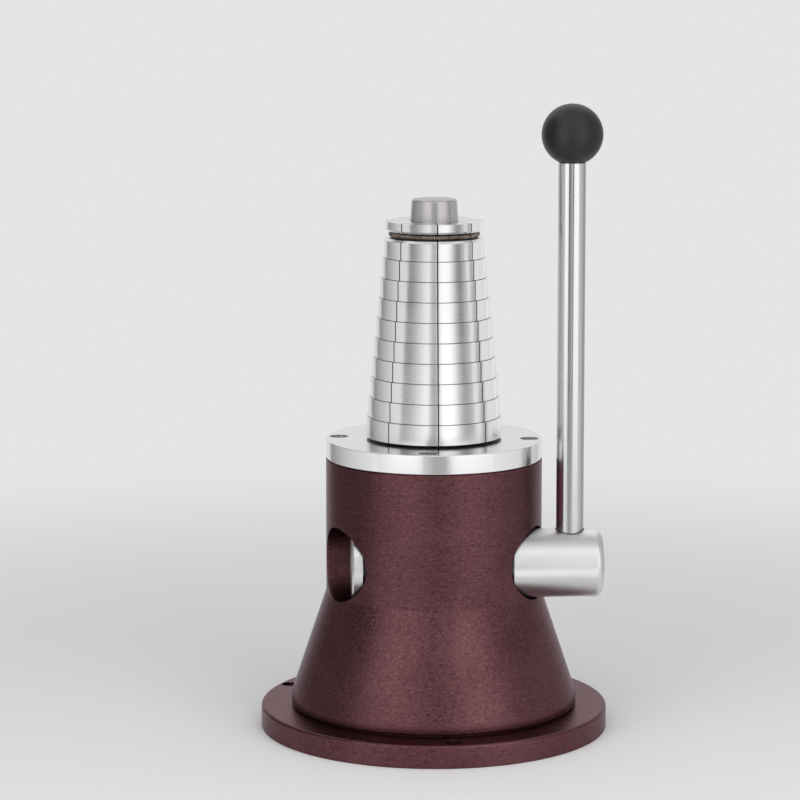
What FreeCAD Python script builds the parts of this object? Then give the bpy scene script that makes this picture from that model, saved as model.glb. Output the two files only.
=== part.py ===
"""Bangle-size ring stretcher with a stepped, eight-jaw mandrel.

A lever turns a cross shaft with pinion teeth. The pinion lifts a round rack bar with a
tapered cone on it, and the cone spreads the eight jaws of the mandrel. Garter springs
pull the jaws in again. Millimetres, +Z up, origin at the centre of the base's underside,
lever on the +X side and the operator on the -Y side.
"""
import FreeCAD, Part
import math
import os

import Sketcher

Vector = FreeCAD.Vector
Rotation = FreeCAD.Rotation
Placement = FreeCAD.Placement

doc = FreeCAD.newDocument("RingStretcher")


# ---------------------------------------------------------------- driving dimensions

SIZES = (
    # base casting: flange, cone, cylinder
    ("flange_radius", 87.5),
    ("flange_thick", 11.5),
    ("flange_round", 1.5),
    ("foot_hole_radius", 3.9),
    ("foot_hole_inset", 5.8),
    ("foot_hole_turn", 3.1),
    ("foot_hole_count", 3),
    ("skirt_radius", 72.2),
    ("skirt_land", 4.6),
    ("skirt_round", 1.4),
    ("skirt_gap", 0.3),
    ("crease_below_shaft", 17.4),
    ("column_radius", 54.4),
    ("column_top", 137.6),
    ("skirt_wall", 8.0),
    ("bore_floor_thick", 12.0),
    # top plate and its screws
    ("plate_radius", 54.2),
    ("plate_thick", 9.5),
    ("plate_chamfer", 0.6),
    ("plate_screw_circle", 48.0),
    ("plate_screw_turn", -7.0),
    ("plate_screw_count", 4),
    ("plate_screw_head_radius", 4.4),
    ("plate_screw_radius", 2.5),
    ("plate_screw_length", 16.0),
    ("plate_screw_sink", 1.2),
    ("plate_screw_rim", 0.4),
    ("plate_screw_slot", 1.2),
    ("plate_screw_slot_depth", 1.4),
    ("screw_clearance", 0.25),
    ("tapped_clearance", 0.05),
    ("tapped_spare", 2.0),
    # stepped mandrel of eight jaws
    ("jaw_count", 8),
    ("jaw_kerf", 0.8),
    ("jaw_edge_break", 0.5),
    ("mandrel_gap", 1.3),
    ("step_count", 10),
    ("step_height", 10.0),
    ("step_rise", 1.0),
    ("top_step_radius", 25.0),
    ("step_edge_break", 0.4),
    ("top_step_chamfer", 1.1),
    ("groove_width", 3.4),
    ("groove_floor_radius", 19.8),
    ("collar_radius", 24.4),
    ("collar_height", 4.9),
    ("collar_chamfer", 0.5),
    ("collar_under_chamfer", 1.1),
    ("neck_radius", 24.0),
    ("neck_hole_play", 4.0),
    ("foot_radius", 32.0),
    ("foot_thick", 5.0),
    ("foot_play", 4.0),
    ("foot_height_play", 0.2),
    ("foot_lift", 0.1),
    ("jaw_bore_clearance", 0.3),
    # garter springs
    ("spring_thick_radius", 1.5),
    ("spring_seat_gap", 0.1),
    ("lower_spring_thick_radius", 1.2),
    ("lower_spring_groove_depth", 0.9),
    ("lower_spring_drop", 4.2),
    # expander cone
    ("cone_radius_at_collar", 12.0),
    ("cone_half_taper", 0.0625),
    ("cone_tip_rise", 10.9),
    ("cone_tip_chamfer", 0.8),
    ("cone_foot_depth", 22.5),
    ("cone_rest_gap", 0.3),
    ("well_play", 1.3),
    ("spigot_radius", 8.0),
    ("spigot_length", 18.0),
    ("spigot_clearance", 0.05),
    ("spigot_spare", 1.0),
    # rack bar and its end stop
    ("rack_radius", 14.0),
    ("rack_clearance", 0.1),
    ("rack_travel_to_stop", 25.0),
    ("rack_gap_count", 9),
    ("rack_gaps_above_shaft", 2),
    ("rack_flat_margin", 2.0),
    ("stop_washer_radius", 18.0),
    ("stop_washer_thick", 4.0),
    ("stop_screw_radius", 4.0),
    ("stop_screw_length", 14.0),
    ("stop_screw_head_radius", 6.5),
    ("stop_screw_head_height", 8.0),
    ("stop_screw_socket", 3.0),
    # gearing
    ("gear_module", 2.0),
    ("pinion_teeth", 14),
    ("pressure_angle", 20.0),
    ("profile_shift", 0.2),
    ("gear_root_factor", 1.25),
    ("gear_backlash", 0.15),
    ("tooth_length", 24.0),
    # cross shaft, its bushes and stop screw
    ("shaft_forward", 22.4),
    ("shaft_height", 87.0),
    ("shaft_radius", 17.1),
    ("shaft_left_reach", 42.6),
    ("shaft_right_reach", 82.5),
    ("shaft_end_round", 3.8),
    ("shaft_end_chamfer", 0.8),
    ("shaft_neck_half", 14.4),
    ("shoulder_place", 37.5),
    ("relief_width", 3.5),
    ("relief_depth", 3.0),
    ("cross_bore_radius", 18.5),
    ("bush_inner_end", 17.5),
    ("bush_outer_end", 33.5),
    ("bush_clearance", 0.06),
    ("bush_press_gap", 0.02),
    ("dog_screw_place", 25.5),
    ("dog_screw_radius", 3.0),
    ("dog_radius", 2.0),
    ("dog_length", 3.4),
    ("dog_socket_radius", 1.7),
    ("dog_socket_depth", 3.0),
    ("dog_groove_depth", 2.0),
    ("dog_groove_play", 0.3),
    # lever
    ("lever_place", 66.5),
    ("lever_radius", 6.85),
    ("lever_clearance", 0.05),
    ("lever_depth", 8.0),
    ("lever_reach", 213.9),
    ("lever_end_chamfer", 0.8),
    ("knob_radius", 15.2),
    ("knob_flat_radius", 7.2),
    ("knob_stud_radius", 4.0),
    ("knob_stud_length", 16.0),
    ("insert_radius", 5.6),
    ("insert_length", 18.0),
    ("insert_clearance", 0.05),
    ("insert_spare", 2.0),
    # how far a cutting form runs past what it cuts
    ("cut_spare", 5.0),
)

sheet = doc.addObject("Spreadsheet::Sheet", "Sizes")
for row, (size_name, size_value) in enumerate(SIZES, start=1):
    sheet.set(f"A{row}", size_name)
    sheet.set(f"B{row}", str(size_value))
    sheet.setAlias(f"B{row}", size_name)
doc.recompute()


class Size:
    """A size from the sheet, or one worked out from such sizes: its value now and its expression."""

    def __init__(self, value, text):
        self.value = float(value)
        self.text = text

    def __float__(self):
        return self.value

    def __add__(self, other):
        other = as_size(other)
        return Size(self.value + other.value, f"({self.text} + {other.text})")

    def __radd__(self, other):
        return as_size(other) + self

    def __sub__(self, other):
        other = as_size(other)
        return Size(self.value - other.value, f"({self.text} - {other.text})")

    def __rsub__(self, other):
        return as_size(other) - self

    def __mul__(self, other):
        other = as_size(other)
        return Size(self.value * other.value, f"({self.text} * {other.text})")

    def __rmul__(self, other):
        return as_size(other) * self

    def __truediv__(self, other):
        other = as_size(other)
        return Size(self.value / other.value, f"({self.text} / {other.text})")

    def __rtruediv__(self, other):
        return as_size(other) / self

    def __neg__(self):
        return as_size(0) - self


def as_size(number):
    return number if isinstance(number, Size) else Size(number, repr(float(number)))


def cosine(degrees):
    return Size(math.cos(math.radians(degrees.value)), f"cos({degrees.text})")


def sine(degrees):
    return Size(math.sin(math.radians(degrees.value)), f"sin({degrees.text})")


def tangent(degrees):
    return Size(math.tan(math.radians(degrees.value)), f"tan({degrees.text})")


def root(number):
    return Size(math.sqrt(number.value), f"sqrt({number.text})")


class Sheet:
    """The sheet's sizes by name."""

    def __getattr__(self, name):
        return Size(sheet.get(name), f"Sizes.{name}")


size = Sheet()


# ---------------------------------------------------------------- making features

def bind(feature, prop, length):
    """Ties one property of a feature to the sheet."""
    feature.setExpression(prop, as_size(length).text)


def place(piece, x=0, y=0, z=0, rotation=None):
    """Puts a piece at a place that follows the sheet."""
    where = Vector(float(x), float(y), float(z))
    piece.Placement = Placement(where, rotation or Rotation())
    for axis, length in zip("xyz", (x, y, z)):
        if isinstance(length, Size):
            bind(piece, f"Placement.Base.{axis}", length)
    return piece


def origin_feature(body, role):
    return next(f for f in body.Origin.OriginFeatures if f.Role == role)


def new_body(label):
    body = doc.addObject("PartDesign::Body", label)
    body.Label = label
    return body


def new_sketch(body, name, plane, offset=None):
    """A sketch on one of the body's own planes, or lifted off it along its normal."""
    sketch = body.newObject("Sketcher::SketchObject", name)
    sketch.AttachmentSupport = [(origin_feature(body, plane), "")]
    sketch.MapMode = "FlatFace"
    if offset is not None:
        sketch.AttachmentOffset = Placement(Vector(0, 0, float(offset)), Rotation())
        bind(sketch, "AttachmentOffset.Base.z", offset)
    return sketch


def tie_point(sketch, geometry, end, x, y):
    """Holds one end of a line, or a circle's centre, at sizes from the sheet."""
    for kind, axis, length in (("DistanceX", -2, as_size(x)), ("DistanceY", -1, as_size(y))):
        if length.value == 0:
            sketch.addConstraint(Sketcher.Constraint("PointOnObject", geometry, end, axis))
            continue
        index = sketch.addConstraint(
            Sketcher.Constraint(kind, -1, 1, geometry, end, length.value)
        )
        bind(sketch, f"Constraints[{index}]", length)


def draw_outline(sketch, points):
    """A closed outline of straight lines, each corner tied to the sheet."""
    count = len(points)
    for start, stop in zip(points, points[1:] + points[:1]):
        ends = [Vector(float(x), float(y), 0) for x, y in (start, stop)]
        sketch.addGeometry(Part.LineSegment(*ends), False)
    for index in range(count):
        sketch.addConstraint(
            Sketcher.Constraint("Coincident", index, 2, (index + 1) % count, 1)
        )
    for index, (x, y) in enumerate(points):
        tie_point(sketch, index, 1, x, y)


def draw_circle(sketch, x, y, radius):
    """A circle whose centre and radius follow the sheet."""
    centre = Vector(float(x), float(y), 0)
    circle = sketch.addGeometry(Part.Circle(centre, Vector(0, 0, 1), float(radius)), False)
    tie_point(sketch, circle, 3, x, y)
    index = sketch.addConstraint(Sketcher.Constraint("Radius", circle, float(radius)))
    bind(sketch, f"Constraints[{index}]", radius)


def turn(body, points, axis="V_Axis"):
    """A turned form: an outline in the XZ plane, revolved about Z or X."""
    sketch = new_sketch(body, "TurnedOutline", "XZ_Plane")
    draw_outline(sketch, points)
    revolved = body.newObject("PartDesign::Revolution", "Turned")
    revolved.Profile = sketch
    revolved.ReferenceAxis = (sketch, [axis])
    revolved.Angle = 360
    doc.recompute()
    return revolved


def checked_cut(body, feature, before):
    """A cut that takes nothing away points the wrong way, so it stops the build."""
    doc.recompute()
    if not feature.Shape.Volume < before - 1e-6:
        raise RuntimeError(f"{body.Label}: {feature.Name} cut nothing")
    return feature


def groove(body, name, points, axis_x):
    """A turned cut: an outline in the XZ plane, revolved about an upright line at axis_x."""
    before = body.Shape.Volume
    sketch = new_sketch(body, f"{name}Outline", "XZ_Plane")
    draw_outline(sketch, points)
    low, high = float(points[0][1]), float(points[-1][1])
    line = Part.LineSegment(Vector(float(axis_x), low, 0), Vector(float(axis_x), high, 0))
    index = sketch.addGeometry(line, True)
    tie_point(sketch, index, 1, axis_x, points[0][1])
    tie_point(sketch, index, 2, axis_x, points[-1][1])
    cut = body.newObject("PartDesign::Groove", name)
    cut.Profile = sketch
    cut.ReferenceAxis = (sketch, ["Axis0"])
    cut.Angle = 360
    return checked_cut(body, cut, before)


def pocket(body, name, sketch, length=None, up=False, both_ways=False):
    """Cuts a sketch through the body, or length deep from the sketch's plane."""
    before = body.Shape.Volume
    cut = body.newObject("PartDesign::Pocket", name)
    cut.Profile = sketch
    if both_ways:
        cut.SideType = "Symmetric"
    if length is None:
        cut.Type = "ThroughAll"
    else:
        bind(cut, "Length", length)
    cut.Reversed = up
    return checked_cut(body, cut, before)


def polar(body, name, cut, count, axis):
    pattern = body.newObject("PartDesign::PolarPattern", name)
    pattern.Originals = [cut]
    pattern.Axis = (origin_feature(body, axis), [""])
    pattern.Angle = 360
    bind(pattern, "Occurrences", count)
    body.Tip = pattern
    doc.recompute()
    return pattern


def edges_where(feature, test):
    """Names of the edges whose every sampled point passes the test."""
    names = []
    for index, edge in enumerate(feature.Shape.Edges, start=1):
        if all(test(point) for point in edge.discretize(9)):
            names.append(f"Edge{index}")
    return names


def on_ring(radius, height):
    """Test for the points of a level circle about Z."""
    def test(point):
        off = math.hypot(point.x, point.y) - float(radius)
        return abs(off) < 1e-4 and abs(point.z - float(height)) < 1e-4
    return test


def round_edges(body, name, feature, test, radius):
    fillet = body.newObject("PartDesign::Fillet", name)
    fillet.Base = (feature, edges_where(feature, test))
    bind(fillet, "Radius", radius)
    doc.recompute()
    return fillet


def cylinder(name, radius, length, x=0, y=0, z=0, rotation=None):
    piece = doc.addObject("Part::Cylinder", name)
    bind(piece, "Radius", radius)
    bind(piece, "Height", length)
    return place(piece, x, y, z, rotation)


def joined(name, pieces):
    fuse = doc.addObject("Part::MultiFuse", name)
    fuse.Shapes = pieces
    return fuse


def cut_away(name, base, tools):
    """Cuts each tool from the base in turn."""
    for index, tool in enumerate(tools, start=1):
        last = index == len(tools)
        cut = doc.addObject("Part::Cut", name if last else f"{name}Cut{index}")
        cut.Base = base
        cut.Tool = tool
        base = cut
    base.Label = name
    return base


def copied(name, source, placement):
    """The same piece again, somewhere else."""
    copy = doc.addObject("Part::Compound", name)
    copy.Links = [source]
    doc.recompute()
    copy.Placement = placement
    return copy


def about_z(degrees):
    return Placement(Vector(), Rotation(Vector(0, 0, 1), degrees))


ALONG_X = Rotation(Vector(0, 1, 0), 90)


# ---------------------------------------------------------------- shared places

plate_bottom = size.column_top
plate_top = plate_bottom + size.plate_thick
mandrel_bottom = plate_top + size.mandrel_gap
steps_top = mandrel_bottom + size.step_count * size.step_height
collar_bottom = steps_top + size.groove_width
collar_top = collar_bottom + size.collar_height

foot_bottom = plate_bottom + size.foot_lift
foot_top = foot_bottom + size.foot_thick
recess_top = foot_top + size.foot_height_play
neck_groove_radius = size.neck_radius - size.lower_spring_groove_depth
lower_spring_height = plate_top - size.lower_spring_drop + size.mandrel_gap
recess_radius = size.foot_radius + size.foot_play
neck_hole_radius = size.neck_radius + size.neck_hole_play

pitch_radius = size.gear_module * size.pinion_teeth / 2
tooth_pitch = math.pi * size.gear_module
rack_line = pitch_radius + size.profile_shift * size.gear_module
pinion_tip_radius = pitch_radius + (1 + size.profile_shift) * size.gear_module
pinion_root_radius = rack_line - size.gear_root_factor * size.gear_module

hollow_height = size.shaft_height - size.cross_bore_radius - size.bore_floor_thick
crease_height = size.shaft_height - size.crease_below_shaft
foot_hole_circle = size.flange_radius - size.foot_hole_inset

rack_bore_radius = size.rack_radius + size.rack_clearance
rack_foot = hollow_height - size.rack_travel_to_stop
cone_foot = size.column_top - size.cone_foot_depth
well_floor = cone_foot - size.cone_rest_gap


def cone_radius(height):
    """The expander cone's radius at a height, with the lever at rest."""
    return size.cone_radius_at_collar + (collar_top - height) * size.cone_half_taper


well_radius = cone_radius(cone_foot) + size.well_play


# ---------------------------------------------------------------- base casting

def make_base_casting():
    """One iron casting: flange, hollow cone and bored column."""
    skirt_foot = size.flange_thick + size.skirt_gap
    land_top = skirt_foot + size.skirt_land
    skirt_slope = (size.skirt_radius - size.column_radius) / (crease_height - land_top)
    hollow_top_radius = (
        size.skirt_radius
        - (hollow_height - land_top) * skirt_slope
        - size.skirt_wall
    )
    ledge_radius = size.skirt_radius - size.skirt_round - size.skirt_gap
    body = new_body("base_casting")
    turned = turn(body, [
        (size.flange_radius, 0),
        (size.flange_radius, size.flange_thick),
        (ledge_radius, size.flange_thick),
        (ledge_radius, skirt_foot),
        (size.skirt_radius, skirt_foot),
        (size.skirt_radius, land_top),
        (size.column_radius, crease_height),
        (size.column_radius, size.column_top),
        (well_radius, size.column_top),
        (well_radius, well_floor),
        (rack_bore_radius, well_floor),
        (rack_bore_radius, hollow_height),
        (hollow_top_radius, hollow_height),
        (size.skirt_radius - size.skirt_wall, 0),
    ])
    on_flange = on_ring(size.flange_radius, size.flange_thick)
    rounded = round_edges(body, "FlangeRound", turned, on_flange, size.flange_round)
    at_skirt = on_ring(size.skirt_radius, skirt_foot)
    round_edges(body, "SkirtRound", rounded, at_skirt, size.skirt_round)

    bore = new_sketch(body, "CrossBoreCircle", "YZ_Plane")
    draw_circle(bore, -size.shaft_forward, size.shaft_height, size.cross_bore_radius)
    pocket(body, "CrossBore", bore, both_ways=True)

    screw = new_sketch(body, "DogScrewCircle", "XY_Plane", hollow_height)
    hole_radius = size.dog_screw_radius + size.tapped_clearance
    draw_circle(screw, -size.dog_screw_place, -size.shaft_forward, hole_radius)
    depth = size.shaft_height - hollow_height - size.shaft_radius
    pocket(body, "DogScrewHole", screw, depth, up=True)

    foot = new_sketch(body, "FootHoleCircle", "XY_Plane")
    draw_circle(
        foot,
        foot_hole_circle * sine(size.foot_hole_turn),
        -foot_hole_circle * cosine(size.foot_hole_turn),
        size.foot_hole_radius,
    )
    foot_hole = pocket(body, "FootHole", foot, size.flange_thick, up=True)
    polar(body, "FootHoles", foot_hole, size.foot_hole_count, "Z_Axis")

    tapped = new_sketch(body, "PlateScrewCircle", "XY_Plane", size.column_top)
    turned_by = size.plate_screw_turn
    draw_circle(
        tapped,
        size.plate_screw_circle * cosine(turned_by),
        size.plate_screw_circle * sine(turned_by),
        size.plate_screw_radius + size.tapped_clearance,
    )
    depth = size.plate_screw_length + size.plate_screw_sink - size.plate_thick
    depth = depth + size.tapped_spare
    tapped_hole = pocket(body, "PlateScrewHole", tapped, depth)
    polar(body, "PlateScrewHoles", tapped_hole, size.plate_screw_count, "Z_Axis")
    return body


# ---------------------------------------------------------------- top plate and screws

def countersunk(centre, play, bottom, top):
    """Half outline of a countersunk screw, or of its hole, about an upright line."""
    head = size.plate_screw_head_radius + play
    shank = size.plate_screw_radius + play
    rim = plate_top - size.plate_screw_sink - size.plate_screw_rim
    return [
        (centre, bottom),
        (centre + shank, bottom),
        (centre + shank, rim - (head - shank)),
        (centre + head, rim),
        (centre + head, top),
        (centre, top),
    ]


def make_top_plate():
    """Turned steel disc with the jaws' recess underneath and four countersunk holes."""
    body = new_body("top_plate")
    turn(body, [
        (recess_radius, plate_bottom),
        (size.plate_radius, plate_bottom),
        (size.plate_radius, plate_top - size.plate_chamfer),
        (size.plate_radius - size.plate_chamfer, plate_top),
        (neck_hole_radius, plate_top),
        (neck_hole_radius, recess_top),
        (recess_radius, recess_top),
    ])
    outline = countersunk(
        size.plate_screw_circle, size.screw_clearance, plate_bottom, plate_top
    )
    hole = groove(body, "ScrewHole", outline, size.plate_screw_circle)
    polar(body, "ScrewHoles", hole, size.plate_screw_count, "Z_Axis")
    return place(body, rotation=Rotation(Vector(0, 0, 1), float(size.plate_screw_turn)))


# where each screw's slot happens to stop, in degrees
SLOT_TURNS = (35.0, 85.0, 135.0, 5.0)


def make_plate_screws():
    """Four slotted countersunk screws, sunk a little below the plate."""
    screw = new_body("PlateScrew")
    top = plate_top - size.plate_screw_sink
    turn(screw, countersunk(as_size(0), as_size(0), top - size.plate_screw_length, top))
    slot = new_sketch(screw, "SlotOutline", "XY_Plane", top)
    half = size.plate_screw_slot / 2
    end = size.plate_screw_head_radius + size.cut_spare
    draw_outline(slot, [(-end, -half), (end, -half), (end, half), (-end, half)])
    pocket(screw, "Slot", slot, size.plate_screw_slot_depth)
    copies = []
    for index in range(int(size.plate_screw_count.value)):
        angle = float(size.plate_screw_turn) + 360 * index / float(size.plate_screw_count)
        spot = Placement(Vector(float(size.plate_screw_circle), 0, 0), Rotation())
        where = about_z(angle).multiply(spot).multiply(about_z(SLOT_TURNS[index % 4]))
        copies.append(copied(f"PlateScrew{index + 1}", screw, where))
    group = doc.addObject("Part::Compound", "plate_screws")
    group.Links = copies
    return group


# ---------------------------------------------------------------- jaws

def jaw_outline():
    """Half section of the whole stepped mandrel, from the jaws' feet to the collar."""
    def bore(height):
        return cone_radius(height) + size.jaw_bore_clearance

    spring_half = size.lower_spring_thick_radius + size.spring_seat_gap
    points = [
        (bore(foot_bottom), foot_bottom),
        (size.foot_radius, foot_bottom),
        (size.foot_radius, foot_top),
        (size.neck_radius, foot_top),
        (size.neck_radius, lower_spring_height - spring_half),
        (neck_groove_radius, lower_spring_height - spring_half),
        (neck_groove_radius, lower_spring_height + spring_half),
        (size.neck_radius, lower_spring_height + spring_half),
        (size.neck_radius, mandrel_bottom),
    ]
    for index in range(int(size.step_count.value)):
        radius = size.top_step_radius + (size.step_count - 1 - index) * size.step_rise
        bottom = mandrel_bottom + index * size.step_height
        top = bottom + size.step_height
        last = index == int(size.step_count.value) - 1
        corner = size.top_step_chamfer if last else size.step_edge_break
        points += [(radius, bottom), (radius, top - corner), (radius - corner, top)]
    points += [
        (size.groove_floor_radius, steps_top),
        (size.groove_floor_radius, collar_bottom),
        (size.collar_radius - size.collar_under_chamfer, collar_bottom),
        (size.collar_radius, collar_bottom + size.collar_under_chamfer),
        (size.collar_radius, collar_top - size.collar_chamfer),
        (size.collar_radius - size.collar_chamfer, collar_top),
        (bore(collar_top), collar_top),
    ]
    return points


def make_jaws():
    """The mandrel is turned whole, then sawn into equal jaws."""
    blank = new_body("MandrelBlank")
    turn(blank, jaw_outline())

    half_angle = 180 / size.jaw_count
    apex = size.jaw_kerf / 2 / sine(half_angle)
    reach = size.foot_radius + size.cut_spare * 2
    spread = (reach - apex) * tangent(half_angle)
    sector = doc.addObject("Sketcher::SketchObject", "JawSector")
    draw_outline(sector, [(apex, 0), (reach, -spread), (reach, spread)])
    wedge = doc.addObject("Part::Extrusion", "JawWedge")
    wedge.Base = sector
    wedge.DirMode = "Normal"
    wedge.Solid = True
    bind(wedge, "LengthFwd", collar_top + size.cut_spare)
    sawn = doc.addObject("Part::Common", "SawnJaw")
    sawn.Base = blank
    sawn.Tool = wedge
    doc.recompute()

    def on_saw_edge(edge):
        """Upright outer edges that the saw leaves, from the steps and the collar."""
        low, high = edge.BoundBox.ZMin, edge.BoundBox.ZMax
        reach = math.hypot(edge.CenterOfMass.x, edge.CenterOfMass.y)
        upright = high - low > edge.Length - 1e-6
        floor = float(size.groove_floor_radius) + 1
        return upright and low > float(mandrel_bottom) - 1e-6 and reach > floor

    broken = doc.addObject("Part::Chamfer", "BrokenJaw")
    broken.Base = sawn
    width = float(size.jaw_edge_break)
    broken.Edges = [
        (index, width, width)
        for index, edge in enumerate(sawn.Shape.Edges, start=1)
        if on_saw_edge(edge)
    ]
    doc.recompute()

    jaws = []
    count = int(size.jaw_count.value)
    for index in range(count):
        middle = -90 + (index + 0.5) * 360 / count
        jaws.append(copied(f"jaw_{index + 1}", broken, about_z(middle)))
    return jaws


# ---------------------------------------------------------------- garter springs

def make_garter(label, middle_radius, thick_radius, height):
    """A closed coil spring, as the eight-sided ring that its coils fill."""
    near = thick_radius * tangent(as_size(22.5))
    corners = [
        (thick_radius, near),
        (near, thick_radius),
        (-near, thick_radius),
        (-thick_radius, near),
        (-thick_radius, -near),
        (-near, -thick_radius),
        (near, -thick_radius),
        (thick_radius, -near),
    ]
    body = new_body(label)
    turn(body, [(middle_radius + out, height + up) for out, up in corners])
    return body


def make_garter_springs():
    """One in the groove under the collar, one round the jaws' necks."""
    upper_thick = size.spring_thick_radius
    lower_thick = size.lower_spring_thick_radius
    upper_middle = size.groove_floor_radius + upper_thick + size.spring_seat_gap
    lower_middle = neck_groove_radius + lower_thick + size.spring_seat_gap
    upper_height = steps_top + size.groove_width / 2
    return [
        make_garter("garter_spring", upper_middle, upper_thick, upper_height),
        make_garter("lower_garter_spring", lower_middle, lower_thick, lower_spring_height),
    ]


# ---------------------------------------------------------------- expander

def make_expander_cone():
    """Long hardened taper, narrow end up, bored below for the rack bar's spigot."""
    tip = collar_top + size.cone_tip_rise
    socket = size.spigot_radius + size.spigot_clearance
    socket_top = cone_foot + size.spigot_length + size.spigot_spare
    body = new_body("expander_cone")
    turn(body, [
        (socket, cone_foot),
        (cone_radius(cone_foot), cone_foot),
        (cone_radius(tip - size.cone_tip_chamfer), tip - size.cone_tip_chamfer),
        (cone_radius(tip) - size.cone_tip_chamfer, tip),
        (0, tip),
        (0, socket_top),
        (socket, socket_top),
    ])
    return body


def make_rack_bar():
    """Round bar with a flat and rack teeth on the side of the shaft."""
    tip_line = -size.shaft_forward + rack_line - size.gear_module
    floor_line = -size.shaft_forward + rack_line + size.gear_root_factor * size.gear_module
    body = new_body("rack_bar")
    tapped = size.stop_screw_radius + size.tapped_clearance
    tapped_top = (
        rack_foot
        - size.stop_washer_thick
        + size.stop_screw_length
        + size.tapped_spare
    )
    spigot_top = cone_foot + size.spigot_length
    turn(body, [
        (tapped, rack_foot),
        (size.rack_radius, rack_foot),
        (size.rack_radius, cone_foot),
        (size.spigot_radius, cone_foot),
        (size.spigot_radius, spigot_top),
        (0, spigot_top),
        (0, tapped_top),
        (tapped, tapped_top),
    ])

    top_gap = size.shaft_height + size.rack_gaps_above_shaft * tooth_pitch
    bottom_gap = top_gap - (size.rack_gap_count - 1) * tooth_pitch
    flat_top = top_gap + tooth_pitch / 2 + size.rack_flat_margin
    flat_bottom = bottom_gap - tooth_pitch / 2 - size.rack_flat_margin
    outside = -size.rack_radius - size.cut_spare
    flat = new_sketch(body, "FlatOutline", "YZ_Plane")
    draw_outline(flat, [
        (outside, flat_bottom),
        (tip_line, flat_bottom),
        (tip_line, flat_top),
        (outside, flat_top),
    ])
    pocket(body, "Flat", flat, both_ways=True)

    slope = tangent(size.pressure_angle)
    beyond = tip_line - size.gear_module / 2
    middle_line = tip_line + size.gear_module

    def half_gap(line):
        return tooth_pitch / 4 + (middle_line - line) * slope

    gap = new_sketch(body, "RackGapOutline", "YZ_Plane")
    draw_outline(gap, [
        (beyond, bottom_gap - half_gap(beyond)),
        (floor_line, bottom_gap - half_gap(floor_line)),
        (floor_line, bottom_gap + half_gap(floor_line)),
        (beyond, bottom_gap + half_gap(beyond)),
    ])
    first = pocket(body, "RackGap", gap, both_ways=True)
    gaps = body.newObject("PartDesign::LinearPattern", "RackGaps")
    gaps.Originals = [first]
    gaps.Direction = (origin_feature(body, "Z_Axis"), [""])
    bind(gaps, "Length", (size.rack_gap_count - 1) * tooth_pitch)
    bind(gaps, "Occurrences", size.rack_gap_count)
    body.Tip = gaps
    return body


def make_rack_stop():
    """Washer and socket screw under the rack bar, which end the cone's travel."""
    washer_bottom = rack_foot - size.stop_washer_thick
    disc = cylinder(
        "StopDisc", size.stop_washer_radius, size.stop_washer_thick, z=washer_bottom
    )
    hole = cylinder(
        "StopDiscHole",
        size.stop_screw_radius + size.screw_clearance,
        size.stop_washer_thick * 2,
        z=washer_bottom - size.stop_washer_thick / 2,
    )
    washer = cut_away("rack_stop_washer", disc, [hole])

    shank = cylinder(
        "StopShank", size.stop_screw_radius, size.stop_screw_length, z=washer_bottom
    )
    head_bottom = washer_bottom - size.stop_screw_head_height
    head = cylinder(
        "StopHead", size.stop_screw_head_radius, size.stop_screw_head_height, z=head_bottom
    )
    socket = doc.addObject("Part::Prism", "StopSocket")
    socket.Polygon = 6
    bind(socket, "Circumradius", size.stop_screw_socket * 2 / root(as_size(3)))
    bind(socket, "Height", size.stop_screw_head_height)
    place(socket, z=head_bottom - size.stop_screw_head_height / 2)
    screw = cut_away("rack_stop_screw", joined("StopBlank", [shank, head]), [socket])
    return [washer, screw]


# ---------------------------------------------------------------- cross shaft

def involute_angle(radius):
    """Half the angle that a pinion tooth takes at a radius."""
    pressure = math.radians(float(size.pressure_angle))
    base = float(pitch_radius) * math.cos(pressure)
    here = math.acos(min(1.0, base / radius))
    shift = float(size.profile_shift * size.gear_module)
    thick = float(tooth_pitch) / 2 + 2 * shift * math.tan(pressure)
    thick -= float(size.gear_backlash)
    start = thick / (2 * float(pitch_radius))
    return start + (math.tan(pressure) - pressure) - (math.tan(here) - here)


def draw_tooth_gap(sketch):
    """The gap between two pinion teeth: two involute flanks and the root."""
    pressure = math.radians(float(size.pressure_angle))
    base = float(pitch_radius) * math.cos(pressure)
    root_radius = float(pinion_root_radius)
    outside = float(pinion_tip_radius) + 0.2 * float(size.gear_module)
    pitch_angle = 2 * math.pi / float(size.pinion_teeth)
    point_count = 7

    def at(radius, angle):
        return Vector(radius * math.cos(angle), radius * math.sin(angle), 0)

    def flank(side):
        """side 0 is the flank of the tooth at angle 0, side 1 that of the next tooth."""
        points = []
        for index in range(point_count):
            radius = base + (outside - base) * (index / (point_count - 1)) ** 2
            half = involute_angle(radius)
            points.append(at(radius, half if side == 0 else pitch_angle - half))
        return points

    near, far = flank(0), flank(1)
    half = involute_angle(base)
    near_root, far_root = at(root_radius, half), at(root_radius, pitch_angle - half)
    floor = at(root_radius, pitch_angle / 2)
    near_curve, far_curve = Part.BSplineCurve(), Part.BSplineCurve()
    near_curve.interpolate(near)
    far_curve.interpolate(far)
    sketch.addGeometry(near_curve, False)
    sketch.addGeometry(Part.LineSegment(near[-1], far[-1]), False)
    sketch.addGeometry(far_curve, False)
    sketch.addGeometry(Part.LineSegment(far[0], far_root), False)
    sketch.addGeometry(Part.Arc(far_root, floor, near_root), False)
    sketch.addGeometry(Part.LineSegment(near_root, near[0]), False)


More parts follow.
